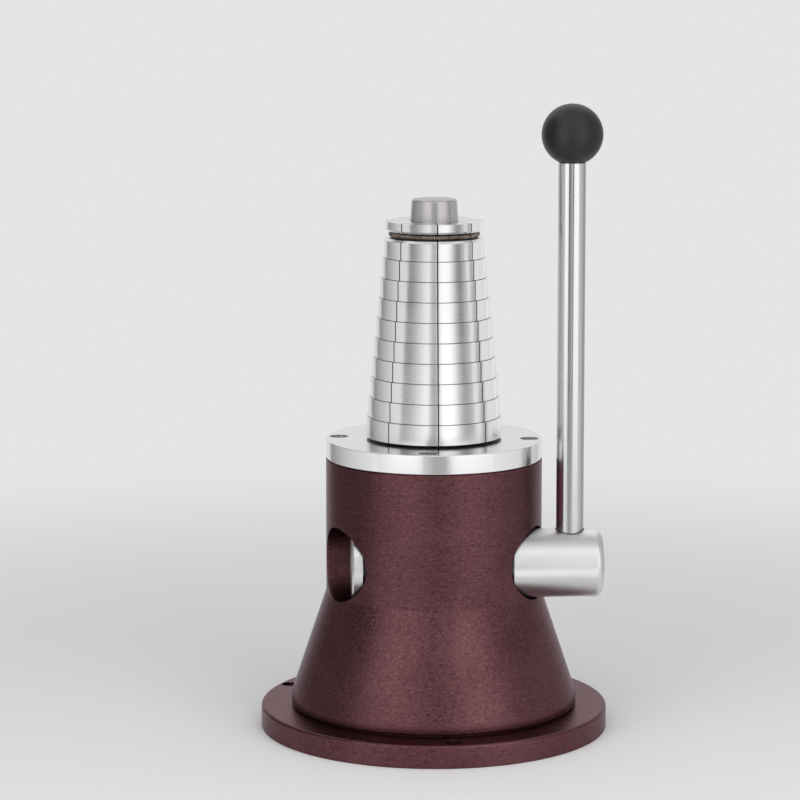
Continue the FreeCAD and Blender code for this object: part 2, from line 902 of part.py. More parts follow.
def make_pinion_shaft():
    """Cross shaft with pinion teeth in the middle and the lever's hub at its right end."""
    half_teeth = size.tooth_length / 2
    groove_half = size.dog_radius + size.dog_groove_play
    groove_radius = size.shaft_radius - size.dog_groove_depth
    relief_radius = size.shaft_radius - size.relief_depth
    relief_end = size.shoulder_place - size.relief_width
    left, right = -size.shaft_left_reach, size.shaft_right_reach
    body = new_body("pinion_shaft")
    turned = turn(body, [
        (left, 0),
        (left, size.shaft_radius - size.shaft_end_chamfer),
        (left + size.shaft_end_chamfer, size.shaft_radius),
        (-size.shoulder_place, size.shaft_radius),
        (-size.shoulder_place, relief_radius),
        (-relief_end, relief_radius),
        (-relief_end, size.shaft_radius),
        (-size.dog_screw_place - groove_half, size.shaft_radius),
        (-size.dog_screw_place - groove_half, groove_radius),
        (-size.dog_screw_place + groove_half, groove_radius),
        (-size.dog_screw_place + groove_half, size.shaft_radius),
        (-size.shaft_neck_half, size.shaft_radius),
        (-size.shaft_neck_half, pinion_root_radius),
        (-half_teeth, pinion_root_radius),
        (-half_teeth, pinion_tip_radius),
        (half_teeth, pinion_tip_radius),
        (half_teeth, pinion_root_radius),
        (size.shaft_neck_half, pinion_root_radius),
        (size.shaft_neck_half, size.shaft_radius),
        (relief_end, size.shaft_radius),
        (relief_end, relief_radius),
        (size.shoulder_place, relief_radius),
        (size.shoulder_place, size.shaft_radius),
        (right, size.shaft_radius),
        (right, 0),
    ], axis="H_Axis")

    def on_hub_end(point):
        off = math.hypot(point.y, point.z) - float(size.shaft_radius)
        return abs(off) < 1e-4 and abs(point.x - float(right)) < 1e-4

    round_edges(body, "HubRound", turned, on_hub_end, size.shaft_end_round)

    socket = new_sketch(body, "LeverSocketCircle", "XY_Plane", -size.lever_depth)
    draw_circle(socket, size.lever_place, 0, size.lever_radius + size.lever_clearance)
    pocket(body, "LeverSocket", socket, up=True)

    tooth_gap = new_sketch(body, "ToothGapOutline", "YZ_Plane")
    draw_tooth_gap(tooth_gap)
    cut_length = size.tooth_length + (size.shaft_neck_half - half_teeth)
    gap = pocket(body, "ToothGap", tooth_gap, cut_length, both_ways=True)
    polar(body, "ToothGaps", gap, size.pinion_teeth, "X_Axis")
    return place(body, y=-size.shaft_forward, z=size.shaft_height)


def make_bush(label, start):
    """A plain bronze bush pressed into the cross bore."""
    length = size.bush_outer_end - size.bush_inner_end
    wall = cylinder(
        f"{label}Wall",
        size.cross_bore_radius - size.bush_press_gap,
        length,
        start,
        -size.shaft_forward,
        size.shaft_height,
        ALONG_X,
    )
    bore = cylinder(
        f"{label}Bore",
        size.shaft_radius + size.bush_clearance,
        length * 2,
        start - length / 2,
        -size.shaft_forward,
        size.shaft_height,
        ALONG_X,
    )
    return wall, bore


def make_shaft_bushes():
    left_wall, left_bore = make_bush("LeftBush", -size.bush_outer_end)
    screw_way = cylinder(
        "DogScrewWay",
        size.dog_screw_radius + size.tapped_clearance,
        size.shaft_height - hollow_height,
        -size.dog_screw_place,
        -size.shaft_forward,
        hollow_height,
    )
    right_wall, right_bore = make_bush("RightBush", size.bush_inner_end)
    return [
        cut_away("shaft_bush_left", left_wall, [left_bore, screw_way]),
        cut_away("shaft_bush_right", right_wall, [right_bore]),
    ]


def make_shaft_stop_screw():
    """Dog-point screw, driven up from the hollow, whose dog runs in the shaft's groove."""
    dog_top = size.shaft_height - size.shaft_radius + size.dog_groove_depth
    dog_top = dog_top - size.dog_groove_play
    shoulder = dog_top - size.dog_length
    x, y = -size.dog_screw_place, -size.shaft_forward
    thread = cylinder(
        "DogThread", size.dog_screw_radius, shoulder - hollow_height, x, y,
        hollow_height,
    )
    dog = cylinder("Dog", size.dog_radius, size.dog_length, x, y, shoulder)
    socket = doc.addObject("Part::Prism", "DogSocket")
    socket.Polygon = 6
    bind(socket, "Circumradius", size.dog_socket_radius)
    bind(socket, "Height", size.dog_socket_depth * 2)
    place(socket, x, y, hollow_height - size.dog_socket_depth)
    return cut_away("shaft_stop_screw", joined("DogBlank", [thread, dog]), [socket])


# ---------------------------------------------------------------- lever

lever_bottom = size.shaft_height - size.lever_depth
knob_centre = size.shaft_height + size.lever_reach
knob_drop = root(size.knob_radius * size.knob_radius - size.knob_flat_radius * size.knob_flat_radius)
knob_flat = knob_centre - knob_drop


def make_lever_rod():
    """Straight steel rod, seated in the hub, with a stud on top for the ball."""
    body = new_body("lever_rod")
    chamfer = size.lever_end_chamfer
    stud_top = knob_flat + size.knob_stud_length
    turn(body, [
        (0, lever_bottom),
        (size.lever_radius - chamfer, lever_bottom),
        (size.lever_radius, lever_bottom + chamfer),
        (size.lever_radius, knob_flat - chamfer),
        (size.lever_radius - chamfer, knob_flat),
        (size.knob_stud_radius, knob_flat),
        (size.knob_stud_radius, stud_top - chamfer),
        (size.knob_stud_radius - chamfer, stud_top),
        (0, stud_top),
    ])
    return place(body, x=size.lever_place, y=-size.shaft_forward)


def make_lever_knob():
    """Moulded black ball with a small flat where it meets the rod."""
    ball = doc.addObject("Part::Sphere", "Ball")
    bind(ball, "Radius", size.knob_radius)
    flat_angle = math.degrees(math.asin(float(knob_drop / size.knob_radius)))
    bind(ball, "Angle1", Size(-flat_angle, f"(-asin({(knob_drop / size.knob_radius).text}))"))
    x, y = size.lever_place, -size.shaft_forward
    place(ball, x, y, knob_centre)
    bore = cylinder(
        "InsertBore",
        size.insert_radius + size.insert_clearance,
        size.insert_length + size.insert_clearance + size.insert_spare,
        x,
        y,
        knob_flat - size.insert_spare,
    )
    return cut_away("lever_knob", ball, [bore])


def make_knob_insert():
    """Threaded brass insert moulded into the ball."""
    x, y = size.lever_place, -size.shaft_forward
    sleeve = cylinder("InsertSleeve", size.insert_radius, size.insert_length, x, y, knob_flat)
    thread = cylinder(
        "InsertThread",
        size.knob_stud_radius + size.tapped_clearance,
        size.knob_stud_length + size.insert_spare * 2,
        x,
        y,
        knob_flat - size.insert_spare,
    )
    return cut_away("knob_insert", sleeve, [thread])


# ---------------------------------------------------------------- build, check and write

pieces = [make_base_casting(), make_top_plate(), make_plate_screws()]
pieces += make_jaws()
pieces += make_garter_springs()
pieces += [make_expander_cone(), make_rack_bar()]
pieces += make_rack_stop()
pieces += [make_pinion_shaft()]
pieces += make_shaft_bushes()
pieces += [make_shaft_stop_screw(), make_lever_rod(), make_lever_knob(), make_knob_insert()]
doc.recompute()

for item in doc.Objects:
    if "Invalid" in item.State or "Error" in item.State:
        raise RuntimeError(f"{item.Label} failed: {item.State}")
for piece in pieces:
    if piece.Shape.isNull() or not piece.Shape.isValid():
        raise RuntimeError(f"{piece.Label} has no valid shape")

os.makedirs("parts", exist_ok=True)
for piece in pieces:
    piece.Shape.exportStep(f"parts/{piece.Label}.step")
    print(f"{piece.Label}: {len(piece.Shape.Solids)} solid, {piece.Shape.Volume:.0f} mm3")
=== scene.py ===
"""Studio scene of a bangle-size ring stretcher.

A painted iron casting carries a stepped steel mandrel of eight jaws. The lever on the
right turns a cross shaft that lifts a cone up the middle of the jaws and spreads them.
The studio's sizes are in metres, and the pieces' sizes in millimetres, times MM.
"""
from math import cos, pi, radians, sin, tan, tau

import bmesh
import bpy
from mathutils import Matrix, Vector


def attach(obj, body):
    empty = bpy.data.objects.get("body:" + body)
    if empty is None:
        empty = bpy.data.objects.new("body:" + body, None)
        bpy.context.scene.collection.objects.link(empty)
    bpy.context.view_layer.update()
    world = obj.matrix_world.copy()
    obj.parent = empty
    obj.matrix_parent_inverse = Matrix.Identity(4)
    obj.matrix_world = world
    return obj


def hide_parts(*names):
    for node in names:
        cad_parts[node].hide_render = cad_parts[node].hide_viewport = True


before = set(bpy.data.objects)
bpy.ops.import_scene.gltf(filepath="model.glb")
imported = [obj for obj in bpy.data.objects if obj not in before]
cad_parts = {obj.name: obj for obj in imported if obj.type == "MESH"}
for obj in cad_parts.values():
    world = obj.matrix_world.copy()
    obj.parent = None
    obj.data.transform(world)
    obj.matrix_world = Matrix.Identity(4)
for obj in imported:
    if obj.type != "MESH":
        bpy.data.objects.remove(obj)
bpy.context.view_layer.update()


# ------------------------------------------------------------------------ camera
# A long lens a little above the mandrel's top, from the operator's side and slightly
# to the left, so that the shaft's left end shows in the mouth of its bore.

CAMERA_PLACE = (-0.094802, -1.494731, 0.398869)
CAMERA_YAW = 2.9748
CAMERA_PITCH = 7.3140
CAMERA_LENS = 135.622
CAMERA_FILM = 36
CAMERA_SHIFT = -0.1
CAMERA_REACH = 60

lens = bpy.data.cameras.new("camera")
lens.sensor_width = CAMERA_FILM
lens.lens = CAMERA_LENS
lens.shift_y = CAMERA_SHIFT
lens.clip_end = CAMERA_REACH
camera = bpy.data.objects.new("camera", lens)
camera.location = CAMERA_PLACE
camera.rotation_euler = (radians(90 - CAMERA_PITCH), 0, -radians(CAMERA_YAW))
bpy.context.scene.collection.objects.link(camera)
bpy.context.scene.camera = camera


# ------------------------------------------------------------------------- floor
# A matt pale board. Far from the object it is as pale as the studio's walls, so that
# no line shows where it ends.

BOARD_RADIUS = 40.0
BOARD_COLOUR = (0.88, 0.88, 0.882, 1)
BOARD_FLECK = 1.03
BOARD_GRAIN = 260.0
BOARD_NEAR = 0.2
BOARD_FAR = 0.8
WALL_SHADE = 0.78


def new_material(name, **values):
    """A material and its Principled shader, with values set on the shader's sockets."""
    material = bpy.data.materials.new(name)
    material.use_nodes = True
    shader = material.node_tree.nodes["Principled BSDF"]
    for socket, value in values.items():
        shader.inputs[socket.replace("_", " ")].default_value = value
    return material, shader


def add_node(tree, kind, inputs=(), **settings):
    """A node whose inputs are given as a dict or list of values and other nodes' outputs."""
    made = tree.nodes.new(kind)
    for name, value in settings.items():
        setattr(made, name, value)
    pairs = inputs.items() if isinstance(inputs, dict) else enumerate(inputs)
    for key, value in pairs:
        if isinstance(value, bpy.types.NodeSocket):
            tree.links.new(value, made.inputs[key])
        elif value is not None:
            made.inputs[key].default_value = value
    return made


def mix_colours(tree, factor, first, second, **settings):
    """The colour of a Mix node, whose colour sockets are 6 and 7 in and 2 out."""
    return add_node(
        tree, "ShaderNodeMix", {"Factor": factor, 6: first, 7: second},
        data_type="RGBA", **settings,
    ).outputs[2]


def grey(shade):
    return (shade, shade, shade, 1)


def add_object(name, shape):
    """A smooth-shaded object from a bmesh, with its place in its mesh."""
    mesh = bpy.data.meshes.new(name)
    shape.to_mesh(mesh)
    shape.free()
    mesh.shade_smooth()
    made = bpy.data.objects.new(name, mesh)
    bpy.context.scene.collection.objects.link(made)
    return made


def seen_directly(tree):
    """1 for rays from the camera and from mirror-like and clear surfaces, else 0."""
    rays = add_node(tree, "ShaderNodeLightPath").outputs
    some = add_node(
        tree, "ShaderNodeMath", [rays["Is Camera Ray"], rays["Is Glossy Ray"]], operation="ADD"
    )
    return add_node(
        tree, "ShaderNodeMath", [some.outputs[0], rays["Is Transmission Ray"]],
        operation="ADD", use_clamp=True,
    ).outputs[0]


board_paper, board_shader = new_material("board_paper", Roughness=0.9, Specular_IOR_Level=0.2)
tree = board_paper.node_tree
place = add_node(tree, "ShaderNodeTexCoord").outputs["Object"]
grain = add_node(
    tree, "ShaderNodeTexNoise", {"Vector": place, "Scale": BOARD_GRAIN, "Detail": 3.0}
)
fleck = [channel * BOARD_FLECK for channel in BOARD_COLOUR[:3]] + [1]
tint = mix_colours(tree, grain.outputs["Fac"], BOARD_COLOUR, fleck)
tree.links.new(tint, board_shader.inputs["Base Color"])
away = add_node(tree, "ShaderNodeVectorMath", [place], operation="LENGTH").outputs["Value"]
far = add_node(
    tree, "ShaderNodeMapRange", {"Value": away, "From Min": BOARD_NEAR, "From Max": BOARD_FAR},
    interpolation_type="SMOOTHSTEP",
)
far_seen = add_node(
    tree, "ShaderNodeMath", [far.outputs["Result"], seen_directly(tree)], operation="MULTIPLY"
)
wall = add_node(tree, "ShaderNodeEmission", {"Color": grey(WALL_SHADE)})
blend = add_node(
    tree, "ShaderNodeMixShader", [far_seen.outputs[0], board_shader.outputs[0], wall.outputs[0]]
)
tree.links.new(blend.outputs[0], tree.nodes["Material Output"].inputs["Surface"])

sheet = bmesh.new()
bmesh.ops.create_circle(sheet, cap_ends=True, segments=96, radius=BOARD_RADIUS)
board = add_object("board", sheet)
board.data.materials.append(board_paper)


# ------------------------------------------------------------------ base casting
# One grey-iron casting: flange, hollow cone and bored column, in maroon wrinkle paint.
# The bores and screw holes are drilled into it afterwards. A narrow seam is turned at the
# column's top, under the plate, and the paint is darkened inside the column, in the bores
# and the hollow, as painted shade.

MM = 0.001
FLANGE_RADIUS = 87.5
FLANGE_THICK = 11.5
FLANGE_ROUND = 1.5
FLANGE_FOOT_ROUND = 0.5
SKIRT_RADIUS = 72.2
SKIRT_FOOT = 11.8
LAND_TOP = 16.4
LAND_ROUND = 1.6
SKIRT_ROUND = 1.4
LEDGE_RADIUS = 70.5
CREASE_HEIGHT = 69.6
CREASE_ROUND = 0.8
COLUMN_RADIUS = 54.4
COLUMN_TOP = 137.6
COLUMN_ROUND = 0.3
SEAM_HEIGHT = 0.55
SEAM_DEPTH = 0.8
WELL_RADIUS = 22.15
WELL_FLOOR = 114.8
WELL_ROUND = 0.5
RACK_BORE_RADIUS = 14.1
HOLLOW_TOP = 56.5
HOLLOW_TOP_RADIUS = 50.78
HOLLOW_TOP_ROUND = 4.0
HOLLOW_FOOT_RADIUS = 64.2
HOLLOW_FOOT_ROUND = 0.8
SHAFT_Y = -22.4
SHAFT_Z = 87.0
CROSS_BORE_RADIUS = 18.5
CROSS_DRILL_LENGTH = 200
MOUTH_ROUND = 0.6
FOOT_HOLE_CIRCLE = 81.7
FOOT_HOLE_RADIUS = 3.9
FOOT_HOLE_TURNS = (-86.9, 33.1, 153.1)
FOOT_DRILL_LENGTH = 30
PLATE_SCREW_CIRCLE = 48.0
PLATE_SCREW_TURNS = (-7.0, 83.0, 173.0, 263.0)
TAP_RADIUS = 2.55
TAP_DEPTH = 9.7
STOP_SCREW_X = -25.5
STOP_SCREW_BORE = 3.05
STOP_DRILL_LENGTH = 20
DRILL_SPARE = 5
NEAR = 0.05
WELD = 1e-7


def spun(outline, steps=192, turn=tau):
    """A bmesh turned about Z from corners (radius, height) or (radius, height, round)."""
    shape = bmesh.new()
    corners = [shape.verts.new((corner[0] * MM, 0, corner[1] * MM)) for corner in outline]
    shape.faces.new(corners)
    for vertex, corner in zip(corners, outline):
        if len(corner) == 3:
            bmesh.ops.bevel(
                shape, geom=[vertex], offset=corner[2] * MM, segments=4,
                affect="VERTICES", profile=0.5, material=-1,
            )
    bmesh.ops.delete(shape, geom=shape.faces[:], context="FACES_ONLY")
    on_axis = [edge for edge in shape.edges if all(abs(v.co.x) < WELD for v in edge.verts)]
    bmesh.ops.delete(shape, geom=on_axis, context="EDGES")
    bmesh.ops.spin(
        shape, geom=shape.verts[:] + shape.edges[:], cent=(0, 0, 0), axis=(0, 0, 1),
        angle=turn, steps=steps, use_merge=turn == tau,
    )
    bmesh.ops.remove_doubles(shape, verts=shape.verts[:], dist=WELD)
    bmesh.ops.recalc_face_normals(shape, faces=shape.faces[:])
    return shape


def on_circle(radius, turn, height):
    """The place on a circle about Z, turned from +X by so many degrees."""
    return (radius * cos(radians(turn)), radius * sin(radians(turn)), height)


def add_drill(shape, radius, length, where, turn=None, segments=48):
    """Adds a plain round cutter to a bmesh, standing on its place or turned about it."""
    matrix = Matrix.Translation(Vector(where) * MM)
    if turn:
        matrix = matrix @ turn
    bmesh.ops.create_cone(
        shape, cap_ends=True, segments=segments, radius1=radius * MM, radius2=radius * MM,
        depth=length * MM, matrix=matrix @ Matrix.Translation((0, 0, length * MM / 2)),
    )


def drilled(shape, cutter):
    """The bmesh with the cutter's solids taken out of it."""
    work = add_object("work", shape)
    tool = add_object("tool", cutter)
    holes = work.modifiers.new("holes", "BOOLEAN")
    holes.operation = "DIFFERENCE"
    holes.solver = "EXACT"
    holes.use_self = True
    holes.object = tool
    graph = bpy.context.evaluated_depsgraph_get()
    result = bmesh.new()
    result.from_object(work, graph)
    for used in (work, tool):
        mesh = used.data
        bpy.data.objects.remove(used)
        bpy.data.meshes.remove(mesh)
    bmesh.ops.remove_doubles(result, verts=result.verts[:], dist=WELD)
    return result


def finish_piece(name, shape, materials, body, nodes=(), sharp=32):
    """Makes the piece, shades it evenly, hands it to its body and hides its CAD nodes."""
    piece = add_object(name, shape)
    piece.data.set_sharp_from_angle(angle=radians(sharp))
    for material in materials:
        piece.data.materials.append(material)
    even = piece.modifiers.new("even_shading", "WEIGHTED_NORMAL")
    even.keep_sharp = True
    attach(piece, body)
    if nodes:
        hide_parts(*nodes)
    return piece


casting = spun([
    (HOLLOW_FOOT_RADIUS, 0, HOLLOW_FOOT_ROUND),
    (FLANGE_RADIUS, 0, FLANGE_FOOT_ROUND),
    (FLANGE_RADIUS, FLANGE_THICK, FLANGE_ROUND),
    (LEDGE_RADIUS, FLANGE_THICK),
    (LEDGE_RADIUS, SKIRT_FOOT),
    (SKIRT_RADIUS, SKIRT_FOOT, SKIRT_ROUND),
    (SKIRT_RADIUS, LAND_TOP, LAND_ROUND),
    (COLUMN_RADIUS, CREASE_HEIGHT, CREASE_ROUND),
    (COLUMN_RADIUS, COLUMN_TOP - SEAM_HEIGHT, COLUMN_ROUND),
    (COLUMN_RADIUS - SEAM_DEPTH, COLUMN_TOP - SEAM_HEIGHT),
    (COLUMN_RADIUS - SEAM_DEPTH, COLUMN_TOP),
    (WELL_RADIUS, COLUMN_TOP, WELL_ROUND),
    (WELL_RADIUS, WELL_FLOOR),
    (RACK_BORE_RADIUS, WELL_FLOOR),
    (RACK_BORE_RADIUS, HOLLOW_TOP),
    (HOLLOW_TOP_RADIUS, HOLLOW_TOP, HOLLOW_TOP_ROUND),
], steps=240)
drills = bmesh.new()
add_drill(
    drills, CROSS_BORE_RADIUS, CROSS_DRILL_LENGTH, (-CROSS_DRILL_LENGTH / 2, SHAFT_Y, SHAFT_Z),
    Matrix.Rotation(pi / 2, 4, "Y"), segments=128,
)
for turn in FOOT_HOLE_TURNS:
    spot = on_circle(FOOT_HOLE_CIRCLE, turn, -DRILL_SPARE)
    add_drill(drills, FOOT_HOLE_RADIUS, FOOT_DRILL_LENGTH, spot)
for turn in PLATE_SCREW_TURNS:
    spot = on_circle(PLATE_SCREW_CIRCLE, turn, COLUMN_TOP - TAP_DEPTH)
    add_drill(drills, TAP_RADIUS, TAP_DEPTH + DRILL_SPARE, spot, segments=24)
spot = (STOP_SCREW_X, SHAFT_Y, HOLLOW_TOP - DRILL_SPARE)
add_drill(drills, STOP_SCREW_BORE, STOP_DRILL_LENGTH, spot, segments=24)
casting = drilled(casting, drills)


def on_mouth(vertex):
    """True on the rim where the cross bore comes out of the column."""
    x, y, z = vertex.co / MM
    off_column = abs((x * x + y * y) ** 0.5 - COLUMN_RADIUS)
    off_bore = abs(((y - SHAFT_Y) ** 2 + (z - SHAFT_Z) ** 2) ** 0.5 - CROSS_BORE_RADIUS)
    return off_column < NEAR and off_bore < NEAR


mouth = [edge for edge in casting.edges if all(on_mouth(v) for v in edge.verts)]
bmesh.ops.bevel(
    casting, geom=mouth, offset=MOUTH_ROUND * MM, segments=3, affect="EDGES",
    profile=0.5, material=-1, clamp_overlap=True,
)


PAINT_SHEEN = (0.72, 0.68, 0.70, 1)
DEEP_MAROON = (0.090, 0.034, 0.040, 1)
LIGHT_MAROON = (0.190, 0.082, 0.092, 1)
CLOUD_GRAIN = 30.0
CLOUD_SHARE = 0.35
WRINKLE_GRAIN = 600.0
WRINKLE_SQUASH = (1.0, 1.0, 1.7)
WRINKLE_DEPTH = 0.26
BORE_SHADE_DEPTH = 1.0
BORE_SHADE = 0.55


def colour_ramp(tree, value, stops):
    """The colour that a value gives on a ramp of (place, colour) stops."""
    ramp = add_node(tree, "ShaderNodeValToRGB", [value])
    marks = ramp.color_ramp.elements
    marks[0].position, marks[0].color = stops[0]
    marks[1].position, marks[1].color = stops[-1]
    for place, colour in stops[1:-1]:
        marks.new(place).color = colour
    return ramp.outputs["Color"]


def wrinkle_paint():
    """Stoved maroon paint with a metal sheen, whose skin has shrunk into fine wrinkles."""
    paint, shader = new_material(
        "maroon_paint", Metallic=0.96, Roughness=0.25, Specular_Tint=PAINT_SHEEN
    )
    tree = paint.node_tree
    place = add_node(tree, "ShaderNodeTexCoord").outputs["Object"]
    cloud = add_node(
        tree, "ShaderNodeTexNoise", {"Vector": place, "Scale": CLOUD_GRAIN, "Detail": 2.0}
    )
    flat = add_node(tree, "ShaderNodeMapping", {"Vector": place, "Scale": WRINKLE_SQUASH})
    skin = add_node(
        tree, "ShaderNodeTexNoise",
        {"Vector": flat.outputs[0], "Scale": WRINKLE_GRAIN, "Detail": 3.0, "Roughness": 0.68,
         "Distortion": 1.0},
    )
    mixed = add_node(
        tree, "ShaderNodeMath", [cloud.outputs["Fac"], CLOUD_SHARE, skin.outputs["Fac"]],
        operation="MULTIPLY_ADD",
    )
    maroon = colour_ramp(tree, mixed.outputs[0], ((0.50, DEEP_MAROON), (0.84, LIGHT_MAROON)))
    axes = add_node(tree, "ShaderNodeSeparateXYZ", [place]).outputs
    across = add_node(tree, "ShaderNodeCombineXYZ", [axes["X"], axes["Y"], 0.0]).outputs[0]
    reach = add_node(tree, "ShaderNodeVectorMath", [across], operation="LENGTH").outputs["Value"]
    # Painted shade: the maroon darkens towards the inside of the column's wall, in its bores and
    # hollow.
    outside = add_node(
        tree, "ShaderNodeMapRange",
        {"Value": reach, "From Min": (COLUMN_RADIUS - BORE_SHADE_DEPTH) * MM,
         "From Max": (COLUMN_RADIUS - MOUTH_ROUND) * MM, "To Min": BORE_SHADE},
    ).outputs["Result"]
    shaded_coat = mix_colours(tree, 1.0, maroon, outside, blend_type="MULTIPLY")
    tree.links.new(shaded_coat, shader.inputs["Base Color"])
    bump = add_node(
        tree, "ShaderNodeBump",
        {"Strength": 0.8, "Distance": WRINKLE_DEPTH * MM, "Height": skin.outputs["Fac"]},
    )
    tree.links.new(bump.outputs["Normal"], shader.inputs["Normal"])
    return paint


maroon_paint = wrinkle_paint()
finish_piece("casting", casting, [maroon_paint], "base", ["base_casting"])


# --------------------------------------------------------------------- top plate
# A steel disc, faced and chamfered in the lathe, that closes the column. It holds the
# jaws' feet down and is itself held by four countersunk screws, sunk below its face.

MARK_GRAIN = 2700.0
MARK_DEPTH = 0.012
SMEAR_GRAIN = 75.0
GRAIN_SPREAD = (0.6, 1.4)
ROUGH_SPREAD = (0.8, 1.25)
TINT_SPREAD = (0.90, 1.04)


def turned_steel(
    name, colour, roughness, anisotropy, axis=(0, 0, 1), centre=(0, 0, 0), marks=0.25
):
    """Bright metal with fine tool marks round an axis through centre, in mm.

    Anisotropy stretches its highlights across the marks, and marks is how strongly the
    marks themselves show.
    """
    steel, shader = new_material(
        name, Metallic=1.0, Anisotropic=anisotropy, Anisotropic_Rotation=0.25
    )
    tree = steel.node_tree
    place = add_node(tree, "ShaderNodeTexCoord").outputs["Object"]
    offset = add_node(
        tree, "ShaderNodeVectorMath", [place, [value * MM for value in centre]],
        operation="SUBTRACT",
    ).outputs[0]
    around = add_node(
        tree, "ShaderNodeVectorMath", [list(axis), offset], operation="CROSS_PRODUCT"
    ).outputs[0]
    world = add_node(
        tree, "ShaderNodeVectorTransform", [around],
        vector_type="VECTOR", convert_from="OBJECT", convert_to="WORLD",
    ).outputs[0]
    tree.links.new(world, shader.inputs["Tangent"])

    reach = add_node(tree, "ShaderNodeVectorMath", [around], operation="LENGTH").outputs["Value"]
    along = add_node(
        tree, "ShaderNodeVectorMath", [offset, list(axis)], operation="DOT_PRODUCT"
    ).outputs["Value"]
    track = add_node(tree, "ShaderNodeCombineXYZ", [reach, along, 0.0]).outputs[0]
    rings = add_node(
        tree, "ShaderNodeTexNoise", {"Vector": track, "Scale": MARK_GRAIN, "Detail": 3.0}
    ).outputs["Fac"]
    smears = add_node(
        tree, "ShaderNodeTexNoise", {"Vector": offset, "Scale": SMEAR_GRAIN, "Detail": 3.0}
    ).outputs["Fac"]
    both = add_node(tree, "ShaderNodeMath", [rings, smears], operation="ADD").outputs[0]
    rough = add_node(
        tree, "ShaderNodeMapRange",
        {"Value": both, "From Min": GRAIN_SPREAD[0], "From Max": GRAIN_SPREAD[1],
         "To Min": roughness * ROUGH_SPREAD[0], "To Max": roughness * ROUGH_SPREAD[1]},
    )
    tree.links.new(rough.outputs["Result"], shader.inputs["Roughness"])
    dark, light = ([channel * share for channel in colour] + [1] for share in TINT_SPREAD)
    tree.links.new(mix_colours(tree, both, dark, light), shader.inputs["Base Color"])
    bump = add_node(
        tree, "ShaderNodeBump", {"Strength": marks, "Distance": MARK_DEPTH * MM, "Height": rings}
    )
    tree.links.new(bump.outputs["Normal"], shader.inputs["Normal"])
    return steel


def dress(node, material):
    """Gives a CAD node its finish."""
    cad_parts[node].material_slots[0].material = material


PLATE_RADIUS = 54.2
PLATE_TOP = 147.1
PLATE_EDGE = 0.6
PLATE_FOOT_EDGE = 0.35
RECESS_RADIUS = 36.0
RECESS_TOP = 142.8
NECK_HOLE_RADIUS = 28.0
NECK_HOLE_EDGE = 0.3
HEAD_HOLE_RADIUS = 4.65
SHANK_HOLE_RADIUS = 2.75
HEAD_RIM_DEPTH = 1.6

plate = spun([
    (RECESS_RADIUS, COLUMN_TOP),
    (PLATE_RADIUS, COLUMN_TOP, PLATE_FOOT_EDGE),
    (PLATE_RADIUS, PLATE_TOP, PLATE_EDGE),
    (NECK_HOLE_RADIUS, PLATE_TOP, NECK_HOLE_EDGE),
    (NECK_HOLE_RADIUS, RECESS_TOP),
    (RECESS_RADIUS, RECESS_TOP),
], steps=240)
screw_holes = bmesh.new()
for turn in PLATE_SCREW_TURNS:
    hole = spun([
        (0, COLUMN_TOP - DRILL_SPARE),
        (SHANK_HOLE_RADIUS, COLUMN_TOP - DRILL_SPARE),
        (SHANK_HOLE_RADIUS, PLATE_TOP - HEAD_RIM_DEPTH - HEAD_HOLE_RADIUS + SHANK_HOLE_RADIUS),
        (HEAD_HOLE_RADIUS, PLATE_TOP - HEAD_RIM_DEPTH),
        (HEAD_HOLE_RADIUS, PLATE_TOP + DRILL_SPARE),
        (0, PLATE_TOP + DRILL_SPARE),
    ], steps=48)
    spot = Vector(on_circle(PLATE_SCREW_CIRCLE, turn, 0)) * MM
    bmesh.ops.translate(hole, verts=hole.verts[:], vec=spot)
    mesh = bpy.data.meshes.new("hole")
    hole.to_mesh(mesh)
    hole.free()
    screw_holes.from_mesh(mesh)
    bpy.data.meshes.remove(mesh)
plate = drilled(plate, screw_holes)
plate_steel = turned_steel("plate_steel", (0.80, 0.80, 0.805), roughness=0.20, anisotropy=0.3)
plate_piece = finish_piece("plate", plate, [plate_steel], "base", ["top_plate"])
screw_steel = turned_steel("screw_steel", (0.20, 0.20, 0.205), roughness=0.4, anisotropy=0.0)
dress("plate_screws", screw_steel)


# -------------------------------------------------------------------------- jaws
# The mandrel is turned whole from one steel bar: ten steps of 1 mm with a fine groove at
# each root between them, bored to the cone's taper and then sawn into eight. The edges of
# the saw cuts and the steps' corners are broken. The saw cuts, bore, necks, spring groove
# and step roots are darkened with a dark steel as painted shade.

JAW_COUNT = 8
HALF_JAW = pi / JAW_COUNT
KERF = 0.55
EDGE_BREAK = 0.20
FOOT_BOTTOM = 137.7
FOOT_TOP = 142.7
FOOT_RADIUS = 32.0
NECK_RADIUS = 24.0
NECK_GROOVE_RADIUS = 23.1
LOWER_SPRING_Z = 144.2
LOWER_SPRING_HALF = 1.3
MANDREL_BOTTOM = 148.4
STEP_COUNT = 10
STEP_HEIGHT = 10.0
ROOT_DEPTH = 0.15
ROOT_HEIGHT = 0.2
TOP_STEP_RADIUS = 25.0
TOP_STEP_CHAMFER = 1.1
GROOVE_RADIUS = 19.8
COLLAR_BOTTOM = 251.8
COLLAR_TOP = 256.7
COLLAR_RADIUS = 24.4
COLLAR_CHAMFER = 1.1
CONE_RADIUS_AT_COLLAR = 12.0
CONE_TAPER = 1 / 16
JAW_CLEARANCE = 0.3
INSIDE_GROOVE = 1
OUTSIDE_GROOVE = 0.5
BELOW_MANDREL = 0.1
FACES_SAW = 0.97
FACES_UP = 0.9
FINE = 0.01
ROOT_FINE = 0.03


def cone_radius(height):
    """The cone's radius at a height while the jaws are closed."""
    return CONE_RADIUS_AT_COLLAR + (COLLAR_TOP - height) * CONE_TAPER


def step_radius(index):
    """The radius of a step of the mandrel; the lowest is step 0."""
    return TOP_STEP_RADIUS + STEP_COUNT - 1 - index


